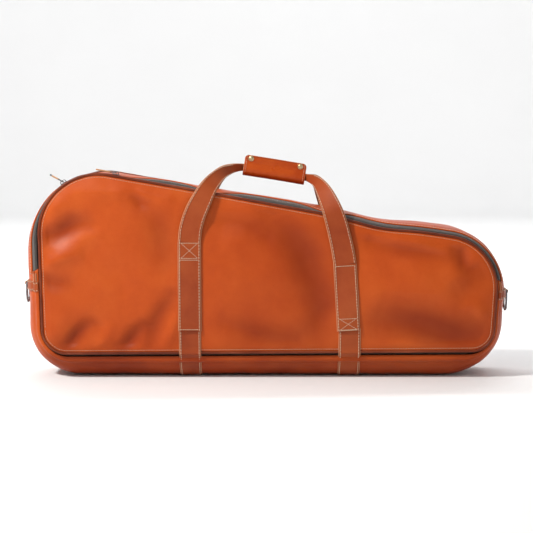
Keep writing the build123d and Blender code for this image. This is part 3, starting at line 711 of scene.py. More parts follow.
def build_panel(name, sign, creases):
    """A crowned, creased panel inside its piped edge."""
    flat = patch(0.0, -0.0008, PANEL_COLS, PANEL_ROWS)
    x, z = flat[..., 0].ravel(), flat[..., 1].ravel()
    depth = panel_depth(x, z, creases)
    verts = np.stack([x, sign * depth, z], 1)
    faces = grid_faces(PANEL_ROWS, PANEL_COLS)
    if sign < 0:
        faces = [f[::-1] for f in faces]
    obj = new_object(name, verts, faces, BODY)
    # painted shade: darker colour in the crease valleys and towards the bottom of the panel, over a random
    # mottle of tone
    crease_shade = np.clip(crease_depth(x, z, creases) / 0.0080, 0, 1)
    mottle_and_low_shade = np.clip(0.30 - wrinkle(np.stack([x, depth, z], 1), 5.5, 12), 0, 1) * 0.28
    set_painted_shade(obj, crease_shade * 0.62 + mottle_and_low_shade * 1.1 * np.clip(1.25 - z / 0.28, 0.25, 1))
    thicken(obj, 0.0020)
    done(obj, "case", "body_leather", name)


build_panel("front_panel", -1, FRONT_CREASES)
build_panel("back_panel", 1, BACK_CREASES)

# ---- piping, with the seam stitched beside it on the panel ----
PIPE_R = 0.0025


def build_piping(name, sign):
    """The rolled welt round one edge of the case."""
    line = outline(0.0)[:-1:4]
    s = np.linspace(0, 1, len(line))
    swell = np.array([noise.noise(Vector((t * 160, 1.5, sign))) for t in s]) * 0.00025
    path = np.stack([line[:, 0], np.full(len(line), sign * (RIM_Y - 0.001)), line[:, 1]], 1)
    verts, faces = tube(path, PIPE_R + swell, sides=12, closed=True)
    obj = new_object(f"{name}", verts, faces, PIPING)
    recalc(obj)
    done(obj, "case", "piping_leather", name)


def recalc(obj):
    """Turns all faces of a closed piece outwards."""
    work = bmesh.new()
    work.from_mesh(obj.data)
    bmesh.ops.recalc_face_normals(work, faces=work.faces)
    work.to_mesh(obj.data)
    work.free()
    obj.data.polygons.foreach_set("use_smooth", [True] * len(obj.data.polygons))


def panel_seam(name, sign, creases, inset):
    """Stitches on the panel, a little inside its piping."""
    line = outline(0.0, -inset)[::8]
    depth = panel_depth(line[:, 0], line[:, 1], creases)
    path = np.stack([line[:, 0], sign * (depth + 0.0001), line[:, 1]], 1)
    inward = np.array([0.0, 0.17]) - line
    inward = unit(inward) * 0.25
    normals = np.stack([-inward[:, 0], np.full(len(line), float(sign)), -inward[:, 1]], 1)
    obj = stitches(name, path, unit(normals), THREAD, 0.0046, 0.76, 0.00032)
    done(obj, "case", "body_leather")


for piping_name, side, its_creases in (("front_piping", -1, FRONT_CREASES), ("back_piping", 1, BACK_CREASES)):
    build_piping(piping_name, side)
    panel_seam(f"{piping_name}_seam", side, its_creases, 0.0052)


# ---- gusset ----
def line_top(x):
    """Height of the zip's straight run at this x."""
    low, high = corners(depth_share(ZIP_Y))[2], corners(depth_share(ZIP_Y))[3]
    return high[1] + (low[1] - high[1]) * (x - high[0]) / (low[0] - high[0])


ALONG = unit(np.array([0.1, line_top(0.1) - line_top(0.0)]))
ZIP_START, ZIP_STOP = place("right", ZIP_END_RIGHT), place("left", ZIP_END_LEFT)
SEAM_GAP = 0.0004


def mouth_cut(y, x, shift):
    """Where along the outline at depth y the mouth's square end at this x falls."""
    line = outline(depth_share(y))
    on_top = line[:, 1] > 0.215
    runs = line[on_top] @ ALONG
    at = np.linspace(0, 1, SAMPLES)[on_top]
    order = np.argsort(runs)
    return float(np.interp(np.array([x, line_top(x)]) @ ALONG + shift, runs[order], at[order]))


def levels(low, high, count):
    """Depths from low to high, closer together near the piped edges."""
    t = np.linspace(-1, 1, count)
    t = np.sin(t * math.pi / 2) * 0.6 + t * 0.4
    return low + (high - low) * (t + 1) / 2


def calm(p):
    """How free the gusset is to ripple at each point: not at all under a strap or an end tab."""
    free = np.ones(len(p))
    for x in (-0.133, 0.1435):
        free = np.minimum(free,
            np.where(p[:, 2] < 0.1, np.clip((np.abs(p[:, 0] - x) - 0.021) / 0.020, 0, 1), 1))
    for side, z in ((-1, 0.162), (1, 0.147)):
        beside = np.clip((np.abs(p[:, 2] - z) - 0.010) / 0.015, 0, 1)
        free = np.minimum(free, np.where(p[:, 0] * side > 0.3, beside, 1))
    return free


def belt(name, depths, ends, material, body, slot, nodes, grow=0.0, thickness=0.0020, ripple=0.0012,
    count=240):
    """A strip of the gusset between two places at each depth; ends(y) gives the two places."""
    rows, fold = [], []
    for y in depths:
        start, stop = ends(y)
        at = np.linspace(start, stop, count)
        p, _, normal = shell_frames(y, at, grow)
        hold = min(1.0, (EDGE_Y - abs(y)) / 0.012 + 0.15) if ripple else 0.0
        sides = np.clip(np.minimum(np.arange(count), np.arange(count)[::-1]) / 8.0, 0, 1)
        wave = (wrinkle(p, 12.0, 3) * 0.9 + wrinkle(p, 34.0, 6) * 0.45) * calm(p)
        rows.append(p + normal * (wave * ripple * hold * sides)[:, None])
        # painted shade: darker where the ripples dip and towards the bottom of the gusset, which faces the
        # floor
        fold.append(np.clip(-wave, 0, 1) * 0.35 + np.clip((0.060 - p[:, 2]) / 0.045, 0, 1) * 0.62)
    grid = np.array(rows)
    obj = shell(name, grid, material, thickness)
    set_painted_shade(obj, np.array(fold).ravel())
    face_out(obj)
    if body is not None:
        done(obj, body, slot, *nodes)
    return obj


def face_out(obj, middle=(0.0, 0.0, 0.17)):
    """Turns an open sheet's faces away from the middle of the case."""
    mesh = obj.data
    flat = sum((Vector(p.center) - Vector(middle)).dot(p.normal) * p.area for p in mesh.polygons)
    if flat < 0:
        mesh.flip_normals()


def flap_ends(y):
    """Where the mouth flap starts and stops along the outline at depth y."""
    return mouth_cut(y, MOUTH_RIGHT, 0), mouth_cut(y, MOUTH_LEFT, 0)


BELOW_START, BELOW_STOP = ZIP_STOP, ZIP_START + 1.0
belt("bottom_gusset", levels(-EDGE_Y, EDGE_Y, 34), lambda y: (BELOW_START, BELOW_STOP), BODY, "case",
    "body_leather",
     ["bottom_gusset"], ripple=0.0016, count=330)
FLAP_EDGE, MARGIN_EDGE = 0.0655, 0.0722  # the leather between these two bends when the mouth opens
FLAP_LEVELS = levels(STRIP_Y, FLAP_EDGE, 26)
END_LEVELS = levels(STRIP_Y, MARGIN_EDGE - SEAM_GAP, 27)
belt("top_strip_right", END_LEVELS, lambda y: (ZIP_START, mouth_cut(y, MOUTH_RIGHT, SEAM_GAP)), BODY, "case",
     "body_leather", ["top_strip_right"], count=80)
belt("top_strip_flap", FLAP_LEVELS, flap_ends, BODY,
     "mouth_flap", "body_leather", ["top_strip_flap"], ripple=0.0008)
belt("top_strip_left", END_LEVELS, lambda y: (mouth_cut(y, MOUTH_LEFT, -SEAM_GAP), ZIP_STOP), BODY, "case",
     "body_leather", ["top_strip_left"], count=110)
belt("top_strip_margin", levels(MARGIN_EDGE, EDGE_Y, 5), lambda y: (ZIP_START, ZIP_STOP), BODY, "case",
     "body_leather", ["top_strip_margin"], ripple=0.0, count=300)

mouth_fold = belt("mouth_fold", np.linspace(FLAP_EDGE, MARGIN_EDGE, 9), flap_ends, BODY, None, None, [],
                  grow=-0.0002, thickness=0.0010, ripple=0.0)
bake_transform(mouth_fold)

# ---- zip ----
ZIP_PARTS = (
    ("right", "case", lambda y: (ZIP_START, mouth_cut(y, MOUTH_RIGHT, SEAM_GAP)), "zip_tape_back_right",
     "zip_teeth_back_right"),
    ("flap", "mouth_flap", flap_ends, "zip_tape_flap",
     "zip_teeth_flap"),
    ("left", "case", lambda y: (mouth_cut(y, MOUTH_LEFT, -SEAM_GAP), ZIP_STOP), "zip_tape_back_left",
     "zip_teeth_back_left"),
)
TOOTH_PITCH = 0.0029


def tooth():
    """One moulded tooth: a rounded block with a raised head that reaches over the middle line, along +Y."""
    outline_xy = [(-0.65, -2.5), (0.65, -2.5), (0.80, -0.6), (0.80, 0.25), (0.45, 0.6), (-0.45, 0.6),
        (-0.80, 0.25), (-0.80, -0.6)]
    rings = ((-1.0, 0.86), (-0.7, 1.0), (0.75, 1.0), (1.05, 0.82))
    verts = [(x * k / 1000, (y * k) / 1000, z / 1000) for z, k in rings for x, y in outline_xy]
    faces = grid_faces(len(rings), len(outline_xy), wrap_cols=True)
    faces.append(tuple(range(8)))
    faces.append(tuple(24 + i for i in reversed(range(8))))
    return verts, [f[::-1] for f in faces]


def teeth_row(name, start, stop, side, offset, body, node):
    """A row of teeth on the zip's line; side is -1 in front of the line and 1 behind it."""
    at = np.linspace(start, stop, 1500)
    p, along, normal = shell_frames(ZIP_Y, at)
    length = np.concatenate([[0], np.cumsum(np.linalg.norm(np.diff(p, axis=0), axis=1))])
    spots = np.arange(TOOTH_PITCH * (0.5 + offset), length[-1] - TOOTH_PITCH * 0.4, TOOTH_PITCH)
    origin, xs, zs = (np.stack([np.interp(spots, length, a[:, k]) for k in range(3)], 1)
        for a in (p, along, normal))
    ys = unit(np.cross(zs, xs))
    ys *= np.sign(ys[:, 1:2]) * -side
    verts, faces = tooth()
    obj = repeat(name, verts, faces, origin, xs, ys, zs, TEETH)
    recalc(obj)
    obj.data.polygons.foreach_set("use_smooth", [False] * len(obj.data.polygons))
    bevel(obj, 0.00018, 1)
    done(obj, body, "zip_teeth", node)


def bevel(obj, width, segments=2):
    """Rounds a hard piece's edges."""
    edge = obj.modifiers.new("edges", "BEVEL")
    edge.width = width
    edge.segments = segments
    edge.limit_method = "ANGLE"
    edge.harden_normals = False


belt("zip_tape_front", [TAPE_FRONT_Y + 0.0004, -0.0722, -0.0705, -0.0685, -0.0673],
    lambda y: (ZIP_START, ZIP_STOP), TAPE,
     "case", "zip_tape", ["zip_tape_front"], grow=-0.0002, thickness=0.0008, ripple=0.0, count=300)
teeth_row("zip_teeth_front", ZIP_START, ZIP_STOP, -1, 0.0, "case", "zip_teeth_front")
for part_name, body_name, ends, tape_node, teeth_node in ZIP_PARTS:
    belt(f"zip_tape_back_{part_name}", [-0.0667, -0.0650, -0.0630, -0.0605], ends, TAPE, body_name,
        "zip_tape",
         [tape_node], grow=-0.0002, thickness=0.0008, ripple=0.0, count=160)
    first, last = ends(ZIP_Y)
    teeth_row(f"zip_teeth_back_{part_name}", first, last, 1, 0.5, body_name, teeth_node)


def hem(name, y, ends, body):
    """The turned edge of a leather strip beside the zip, with its row of stitches."""
    start, stop = ends(y)
    at = np.linspace(start, stop, 300)
    p, _, normal = shell_frames(y, at)
    verts, faces = tube(p + normal * 0.0002, 0.0014, sides=10)
    edge = new_object(f"{name}_hem", verts, faces, BODY)
    recalc(edge)
    done(edge, body, "body_leather")
    p, _, normal = shell_frames(y + 0.0042, at)
    done(stitches(f"{name}_stitches", p + normal * 0.0003, normal, PALE_THREAD), body, "body_leather")


for part_name, body_name, ends, _, _ in ZIP_PARTS:
    hem(f"top_strip_{part_name}_edge", STRIP_Y + 0.0006, ends, body_name)

# ---- straps ----
LEATHER_LIFT = 0.0006  # how far a lapped piece stands off the leather under it
STRAP_FOOT = 0.086
# Each strap: where it stands, its lean as x per z, where its top is, and its riser's stations,
# which are x, y, z, the lean of its width from X, how far its face pitches over, and its width.
STRAP_SETS = {
    "left": {
        "x": -0.133, "lean": 0.0, "top": 0.240, "wrap_x": -0.133, "anchor": 0.2403,
        "box": (0.2125, 0.2385), "lines": (0.2095, 0.0885),
        "stations": [
            (-0.133, 0.0886, 0.2395, 0, 0, 0.0395), (-0.1308, 0.0892, 0.262, -4, 0, 0.039),
            (-0.1245, 0.0900, 0.285, -11, 2, 0.038), (-0.1140, 0.0895, 0.3085, -20, 8, 0.036),
            (-0.0985, 0.0825, 0.3365, -34, 22, 0.030), (-0.0800, 0.0570, 0.3560, -56, 38, 0.0225),
            (-0.0620, 0.0280, 0.3640, -82, 30, 0.0165), (-0.0450, 0.0056, 0.3665, -99, 0, 0.0130),
            (-0.0345, 0.0040, 0.3648, -99.2, 0, 0.0125),
        ],
    },
    "right": {
        "x": 0.1465, "lean": math.tan(math.radians(3.4)), "top": 0.202, "wrap_x": 0.1435, "anchor": 0.2034,
        "box": (0.0885, 0.1075), "lines": (0.1990, 0.0875),
        "stations": [
            (0.1347, 0.0886, 0.2015, 3.4, 0, 0.0395), (0.1313, 0.0894, 0.222, 4, 0, 0.039),
            (0.1262, 0.0900, 0.246, 6, 1, 0.038), (0.1190, 0.0900, 0.274, 10, 4, 0.037),
            (0.1105, 0.0868, 0.300, 18, 12, 0.034), (0.0985, 0.0620, 0.3265, 42, 32, 0.028),
            (0.0870, 0.0330, 0.3420, 66, 30, 0.0205), (0.0720, 0.0060, 0.3480, 80.8, 0, 0.0130),
            (0.0620, 0.0040, 0.3492, 80.8, 0, 0.0125),
        ],
    },
}


def strap_grid(middle, side, width, cols):
    """Points across a strap at each point of its middle line."""
    w = np.linspace(-0.5, 0.5, cols)[None, :, None]
    return middle[:, None, :] + w * np.broadcast_to(width, len(middle))[:, None, None] * side[:, None, :]


def shell_height(y, x, low=True):
    """Height of the gusset's underside, or top, at each x."""
    line = outline(depth_share(y))
    part = line[line[:, 1] < 0.15] if low else line[line[:, 1] > 0.2]
    order = np.argsort(part[:, 0])
    return np.interp(x, part[order, 0], part[order, 1])


def soft_depth(x, z, creases):
    """The panel's depth, evened out as a stiffer strap lies on it."""
    spread = [panel_depth(x + dx, z + dz, creases) for dx in (-0.012, 0.0, 0.012)
        for dz in (-0.010, 0.0, 0.010)]
    return np.mean(spread, axis=0)


def edge_rows(name, grid, lift_sign, inset_cols, material, body, slot, radius=0.00068, pitch=0.0052):
    """Rows of stitches near both edges of a strap grid."""
    normals = grid_normals(grid) * lift_sign
    for k, col in enumerate(inset_cols):
        done(stitches(f"{name}_edge_stitches_{k}", grid[:, col], normals[:, col], material, pitch, 0.72,
                radius), body, slot)


def grid_normals(grid):
    """Normals of a grid of points, by differences along its rows and columns."""
    return unit(np.cross(np.gradient(grid, axis=0), np.gradient(grid, axis=1)))


def solid_strap(name, grid, thickness, material, crown=0.0004):
    """A strap with rounded, painted edges, from a grid of its outer face; it is thickened inwards."""
    rows, cols = grid.shape[:2]
    normals = grid_normals(grid)
    centre = np.array([0.0, 0.0, 0.2])
    if ((grid - centre) * normals).sum() < 0:
        normals = -normals
    w = np.abs(np.linspace(-1, 1, cols))
    drop = np.clip((w - 0.93) / 0.07, 0,
        1) ** 2 * thickness * 0.35 - crown * np.exp(-(((w - 0.86) / 0.07) ** 2))
    outer = grid - normals * drop[None, :, None]
    inner = grid - normals * (thickness - drop)[None, :, None]
    ring = np.concatenate([outer, inner[:, ::-1]], axis=1)
    size = 2 * cols
    faces = grid_faces(rows, size, wrap_cols=True)
    faces.append(tuple(range(size)))
    faces.append(tuple((rows - 1) * size + i for i in reversed(range(size))))
    obj = new_object(name, ring.reshape(-1, 3), faces, material)
    recalc(obj)
    soften(obj)
    edge = np.tile(np.concatenate([w, w[::-1]]), rows)
    tint = obj.data.attributes.new("edge", "FLOAT", "POINT")
    tint.data.foreach_set("value", np.clip((edge - 0.94) / 0.05, 0, 1).astype(np.float32))
    return obj


def soften(obj, width=0.0004):
    """Rounds a strap's cut ends."""
    edge = obj.modifiers.new("edges", "BEVEL")
    edge.width = width
    edge.segments = 2
    edge.limit_method = "ANGLE"
    edge.angle_limit = math.radians(50)


def wrap_side(grid):
    """+1 where a grid's normals already point away from the middle of the case, -1 where not."""
    return float(np.sign(((grid - np.array([0.0, 0.0, 0.2])) * grid_normals(grid)).sum()))


def strap_marks(s, grid, z):
    """The sewn lines across a strap: a box with its cross, and single lines, each with its thread's size."""
    def point(height, across):
        row = np.interp(height, z, np.arange(len(z)))
        col = (across + 1) / 2 * (grid.shape[1] - 1)
        r, c = int(min(row, len(z) - 1.001)), int(min(col, grid.shape[1] - 1.001))
        fr, fc = row - r, col - c
        top = grid[r, c] * (1 - fc) + grid[r, c + 1] * fc
        low = grid[min(r + 1, len(z) - 1), c] * (1 - fc) + grid[min(r + 1, len(z) - 1), c + 1] * fc
        return top * (1 - fr) + low * fr

    def line(h1, a1, h2, a2):
        return np.array([point(h1 + (h2 - h1) * t, a1 + (a2 - a1) * t) for t in np.linspace(0, 1, 14)])

    low, high = s["box"]
    wide = 0.72
    marks = [(line(high, -wide, high, wide), 0.0005), (line(low, -wide, low, wide), 0.0005)]
    marks += [(line(low, -wide, high, wide), 0.00042), (line(low, wide, high, -wide), 0.00042)]
    marks += [(line(h, -0.84, h, 0.84), 0.0006) for h in s["lines"]]
    return marks


def riser_solid(name, outer, normal, thickness):
    """A free strap, finished leather on both faces with pale edges, its back face darkened with painted
    shade.
    """
    rows, cols = outer.shape[:2]
    w = np.abs(np.linspace(-1, 1, cols))
    drop = np.clip((w - 0.93) / 0.07, 0,
        1) ** 2 * thickness * 0.35 - 0.0004 * np.exp(-(((w - 0.86) / 0.07) ** 2))
    front = outer - normal[:, None] * drop[None, :, None]
    back = outer - normal[:, None] * (thickness - drop)[None, :, None]
    ring = np.concatenate([front, back[:, ::-1]], axis=1)
    size = 2 * cols
    faces = grid_faces(rows, size, wrap_cols=True)
    faces.append(tuple(range(size)))
    faces.append(tuple((rows - 1) * size + i for i in reversed(range(size))))
    obj = new_object(name, ring.reshape(-1, 3), faces, STRAP)
    recalc(obj)
    soften(obj)
    edge = np.tile(np.concatenate([w, w[::-1]]), rows)
    tint = obj.data.attributes.new("edge", "FLOAT", "POINT")
    tint.data.foreach_set("value", np.clip((edge - 0.94) / 0.05, 0, 1).astype(np.float32))
    # painted shade on the back face
    dark = np.tile(np.concatenate([np.zeros(cols), np.ones(cols)]), rows)
    set_painted_shade(obj, dark * 0.75)
    return obj


def ride_riser(obj, anchor, end_z, *nodes):
    """A riser rides on the case, with a mesh of its own; anchor and end_z are not used."""
    done(obj, "case", "strap_leather", *nodes)
    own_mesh(obj)


STRAP_COLS = 25
ROW_IN = 2  # which column of a strap its edge stitches follow
for side_name, s in STRAP_SETS.items():
    # the wrap under the case, from front panel to back panel
    rim_z = float(shell_height(RIM_Y - 1e-6, np.array([s["wrap_x"]]))[0])
    x_cols = s["wrap_x"] + np.linspace(-0.5, 0.5, STRAP_COLS) * 0.038
    rows = []
    for sign, creases in ((-1, FRONT_CREASES), (1, BACK_CREASES)):
        part = []
        for z in np.linspace(STRAP_FOOT + 0.004, rim_z + 0.0065, 22):
            depth = soft_depth(x_cols, np.full(STRAP_COLS, z), creases)
            part.append(np.stack([x_cols, sign * (depth + LEATHER_LIFT + 0.0012), np.full(STRAP_COLS, z)], 1))
        for angle in np.linspace(20, -70, 8):
            a = math.radians(angle)
            reach = 0.0025 + LEATHER_LIFT + 0.0014
            y, z = 0.077 + reach * math.cos(a), rim_z + reach * math.sin(a)
            part.append(np.stack([x_cols, np.full(STRAP_COLS, sign * y), np.full(STRAP_COLS, z)], 1))
        for y in np.linspace(0.0735, 0.004, 26):
            z = shell_height(y, x_cols) - LEATHER_LIFT - 0.0012
            part.append(np.stack([x_cols, np.full(STRAP_COLS, sign * y), z], 1))
        rows.append(np.array(part))
    wrap = np.concatenate([rows[0], rows[1][::-1]])
    done(solid_strap(f"under_strap_{side_name}", wrap, 0.0018, STRAP), "case", "strap_leather",
        f"under_strap_{side_name}")
    edge_rows(f"under_strap_{side_name}", wrap, wrap_side(wrap), (ROW_IN, -ROW_IN - 1), THREAD, "case",
        "strap_leather")
    # the straps up each panel and their risers
    for face, sign, creases in (("front", -1, FRONT_CREASES), ("back", 1, BACK_CREASES)):
        z = np.linspace(STRAP_FOOT, s["top"], 56)
        x_mid = s["x"] - s["lean"] * z
        spread = np.linspace(-0.5, 0.5, STRAP_COLS) * STRAP_W
        gx = x_mid[:, None] + spread[None] * math.cos(math.atan(s["lean"]))
        gz = z[:, None] + spread[None] * math.sin(math.atan(s["lean"]))
        depth = soft_depth(gx.ravel(), gz.ravel(), creases).reshape(gx.shape)
        lap = 0.0012 * np.exp(-(((z - STRAP_FOOT) / 0.010) ** 2))[:, None]
        top_y = 0.0906
        blend_up = np.clip((z - (s["top"] - 0.045)) / 0.045, 0, 1)[:, None] ** 1.5
        gy = (depth + LEATHER_LIFT + 0.0034 + lap) * (1 - blend_up) + np.maximum(top_y,
            depth + 0.0038) * blend_up
        grid = np.stack([gx, sign * gy, gz], 2)
        name = f"strap_{face}_{side_name}"
        done(solid_strap(name, grid, 0.0034, STRAP), "case", "strap_leather", name)
        out = wrap_side(grid)
        edge_rows(name, grid, out, (ROW_IN, -ROW_IN - 1), THREAD, "case", "strap_leather")
        marks = strap_marks(s, grid, z)
        for k, (line, fine) in enumerate(marks):
            normals = np.tile([0.0, float(sign), 0.0], (len(line), 1))
            done(stitches(f"{name}_box_{k}", line, normals, THREAD, 0.0040, 0.78, fine), "case",
                "strap_leather")
        # riser
        path = smooth_run(s["stations"], 90)
        lean, pitch = np.radians(path[:, 3]), np.radians(path[:, 4])
        middle = np.stack([path[:, 0], sign * path[:, 1], path[:, 2]], 1)
        wide = np.stack([np.cos(lean), np.zeros(len(lean)), np.sin(lean)], 1)
        normal = np.stack([np.zeros(len(lean)), sign * np.cos(pitch), np.sin(pitch)], 1)
        tangent = unit(np.gradient(middle, axis=0))
        wide = unit(wide - tangent * (wide * tangent).sum(1)[:, None])
        normal_out = unit(np.cross(wide, tangent))
        normal_out *= np.sign((normal_out * normal).sum(1))[:, None]
        outer = strap_grid(middle + normal_out * 0.0016, wide, path[:, 5], STRAP_COLS)
        riser = riser_solid(f"riser_{face}_{side_name}", outer, normal_out, 0.0032)
        ride_riser(riser, s["anchor"], path[-12, 2], f"riser_{face}_{side_name}")
        for k, col in enumerate((ROW_IN, -ROW_IN - 1)):
            for j, offset in enumerate((0.0003, -0.0035)):
                line = outer[:-14, col] + normal_out[:-14] * offset
                row = stitches(f"riser_{face}_{side_name}_stitches_{k}{j}", line,
                    normal_out[:-14] * (1 if j == 0 else -1), THREAD, 0.0058, 0.72, 0.00055)
                ride_riser(row, s["anchor"], path[-12, 2])

# ---- grip: a wrap folded at the bottom, snapped shut at the top round the straps' ends ----
GRIP_ROLL = 0.0100
ROLL_V = GRIP_ROLL - GRIP_HALF
GRIP_U = np.array([math.cos(GRIP_TILT), 0.0, -math.sin(GRIP_TILT)])
GRIP_V = np.array([math.sin(GRIP_TILT), 0.0, math.cos(GRIP_TILT)])
GRIP_O = np.array([GRIP_X, 0.0, GRIP_Z])
GRIP_ARCH = 0.0004  # how much the wrap's ends hang below its middle
SNAP_U, SNAP_V = 0.044, 0.0125
LEAF_OUT = 0.0024
DEPTH = np.array([0.0, 1.0, 0.0])


def grip_place(u, y, v):
    """Points of the grip's own frame: along it, through it and up it, with its slight arch."""
    u, y, v = np.broadcast_arrays(u, y, v)
    fall = GRIP_ARCH * (u / (GRIP_LENGTH / 2)) ** 2
    return GRIP_O + u[..., None] * GRIP_U + y[..., None] * DEPTH + (v - fall)[..., None] * GRIP_V


def leaf_profile(count=56):
    """The wrap's outer face from its bottom fold, round the roll and up the flat leaf, as y and v."""
    turn = np.radians(np.linspace(-85, 28, 30))
    roll = np.stack([GRIP_ROLL * np.cos(turn), ROLL_V + GRIP_ROLL * np.sin(turn)], 1)
    flat = np.array([(0.0062, 0.0006), (0.0040, 0.0036), (0.0029, 0.0062), (0.0025, 0.0095),
            (LEAF_OUT, 0.013), (LEAF_OUT, GRIP_HALF)])
    return smooth_run(np.concatenate([roll, flat]), count)


def grip_leaf(name, sign, body):
    """One half of the wrap, with rounded upper corners and thinned edges."""
    profile = leaf_profile()
    u = np.sin(np.linspace(-1, 1, 81) * math.pi / 2) * 0.35 + np.linspace(-1, 1, 81) * 0.65
    u = u / u.max() * GRIP_LENGTH / 2
    corner_r = 0.0065
    beyond = np.clip(np.abs(u) - (GRIP_LENGTH / 2 - corner_r), 0, None)
    top = GRIP_HALF - (corner_r - np.sqrt(np.clip(corner_r**2 - beyond**2, 0, None)))
    y, v = profile[:, 0][:, None], profile[:, 1][:, None]
    upper = np.clip((v - 0.0062) / (GRIP_HALF - 0.0062), 0, 1)
    v = v + upper * (top - GRIP_HALF)[None]
    y = np.broadcast_to(y, v.shape)
    swell = wrinkle(np.stack([u * 1.0, np.zeros_like(u), np.zeros_like(u)], 1), 60.0, 4)[None] * 0.0002
    grid = grip_place(u[None], sign * (y + swell * (1 - upper)), v)
    rows, cols = grid.shape[:2]
    normals = grid_normals(grid)
    if ((grid - GRIP_O) * normals).sum() < 0:
        normals = -normals
    w_row = np.linspace(0, 1, rows)[:, None]
    rim = np.maximum(np.clip((np.abs(u)[None] - 0.0525) / 0.0025, 0, 1),
        np.clip((w_row - 0.955) / 0.045, 0, 1))
    thin = rim**2 * 0.0006
    outer, inner = grid - normals * thin[..., None], grid - normals * (0.0020 - thin)[..., None]
    verts = np.concatenate([outer.reshape(-1, 3), inner.reshape(-1, 3)])
    n = rows * cols
    faces = grid_faces(rows, cols) + [f[::-1] for f in grid_faces(rows, cols, base=n)]
    border = [r * cols for r in range(rows)] + [(rows - 1) * cols + c for c in range(1, cols)]
    border += [r * cols + cols - 1 for r in range(rows - 2, -1, -1)] + list(range(cols - 2, 0, -1))
    faces += [(border[i], border[(i + 1) % len(border)], border[(i + 1) % len(border)] + n, border[i] + n)
        for i in range(len(border))]
    obj = new_object(name, verts, faces, GRIP)
    recalc(obj)
    # painted shade: darker low in the bottom fold, along the top band, and over the whole inner face
    fold_and_top_shade = np.clip((-0.010 - v) / 0.008, 0, 1) * 0.75 + np.clip((v - 0.0150) / 0.003, 0, 1) * 0.55
    set_painted_shade(obj, np.concatenate([np.broadcast_to(fold_and_top_shade, grid.shape[:2]).ravel(), np.full(n, 0.6)]))
    mark_edge(obj, np.tile((rim.ravel() > 0.75) * 1.0, 2))
    done(obj, body, "grip_leather", name)
    return grid, normals


def mark_edge(obj, values):
    """Stores where a piece of leather has its pale cut edge."""
    tint = obj.data.attributes.new("edge", "FLOAT", "POINT")
    tint.data.foreach_set("value", values.astype(np.float32))


def revolve(name, profile, origin, axis, material, steps=28):
    """A round piece from (radius, height) points, standing on origin along axis."""
    axis = unit(axis)
    side = unit(np.cross(axis, [0.3, 0.1, 1.0]))
    other = np.cross(axis, side)
    angles = np.linspace(0, 2 * math.pi, steps, endpoint=False)
    rings = [origin + axis * h + r * (np.cos(angles)[:, None] * side + np.sin(angles)[:, None] * other) for r,
        h in profile]
    faces = grid_faces(len(profile), steps, wrap_cols=True)
    faces.append(tuple(range(steps)))
    faces.append(tuple((len(profile) - 1) * steps + i for i in reversed(range(steps))))
    obj = new_object(name, np.concatenate(rings), faces, material)
    recalc(obj)
    return obj


CAP_PROFILE = [(4.6, -0.3), (5.0, 0.0), (5.0, 0.5), (4.75, 0.85), (4.3, 0.95), (4.0, 0.80), (3.6, 0.95),
    (2.9, 1.40), (1.9, 1.70), (0.9, 1.82), (0.15, 1.85)]
STUD_PROFILE = [(3.7, -0.2), (4.0, 0.0), (4.0, 0.45), (3.6, 0.75), (2.4, 0.85), (2.1, 0.70), (1.9, 0.75),
    (1.6, 1.35), (0.9, 1.55), (0.1, 1.58)]


def snaps(name, sign, profile, body):
    """Two round snaps on the outside of a leaf."""
    for k, u in enumerate((-SNAP_U, SNAP_U)):
        at = grip_place(np.array(u), np.array(sign * LEAF_OUT), np.array(SNAP_V))
        shape = [(r / 1000, h / 1000) for r, h in profile]
        cap = revolve(f"{name}_{k}", shape, at, (0, sign, 0), BRASS)
        done(cap, body, "snap_brass", name)


for leaf_name, sign, leaf_body in (("grip_back_leaf", 1, "handle"), ("grip_front_leaf", -1, "grip_wrap")):
    leaf_grid, leaf_normals = grip_leaf(leaf_name, sign, leaf_body)
    for k, col in enumerate((4, -5)):
        run = leaf_grid[14:, col] + leaf_normals[14:, col] * 0.0001
        done(stitches(f"{leaf_name}_stitches_{k}", run, leaf_normals[14:, col], THREAD, 0.0036, 0.7, 0.0003),
            leaf_body, "grip_leather")
snaps("snap_caps", -1, CAP_PROFILE, "grip_wrap")
snaps("snap_studs", 1, STUD_PROFILE, "handle")

CORE_HALF = 0.0455
CORE_PROFILE = [(0.3, -13.6), (2.6, -14.0), (4.8, -13.0), (6.2, -9.6), (6.2, -6.0), (5.0, -2.6), (3.0, 0.2),
    (1.2, 2.8), (0.3, 3.2)]
for core_name, sign in (("strap_core_front", -1), ("strap_core_back", 1)):
    ring = smooth_run(np.array(CORE_PROFILE) / 1000, 22)
    u = np.linspace(-CORE_HALF, CORE_HALF, 60)
    lap = 1 + 0.03 * np.sign(np.sin(u * 220))
    grid = grip_place(u[:, None], sign * (ring[:, 0][None] * lap[:, None]),
        np.broadcast_to(ring[:, 1][None], (60, 22)))
    faces = grid_faces(60, 22, wrap_cols=True) + [tuple(range(22)),
        tuple(59 * 22 + i for i in reversed(range(22)))]
    core_piece = new_object(core_name, grid.reshape(-1, 3), faces, SUEDE)
    recalc(core_piece)
    done(core_piece, "handle", "strap_leather", core_name)

# ---- end tabs and rings ----
TABS = (("left", -1, 0.162, -0.425111), ("right", 1, 0.147, 0.424903))
TAB_HEIGHT = 0.017
RING_WIRE, RING_HALF, RING_DROP = 0.0020, 0.0150, 0.0340


def end_place(y, side, z):
    """Where along the outline at depth y this end of the case has height z."""
    line = outline(depth_share(y))
    at = np.linspace(0, 1, SAMPLES)
    part = (line[:, 0] * side > 0.3) & (line[:, 1] > 0.08) & (line[:, 1] < 0.25)
    order = np.argsort(line[part, 1])
    return np.interp(z, line[part, 1][order], at[part][order])


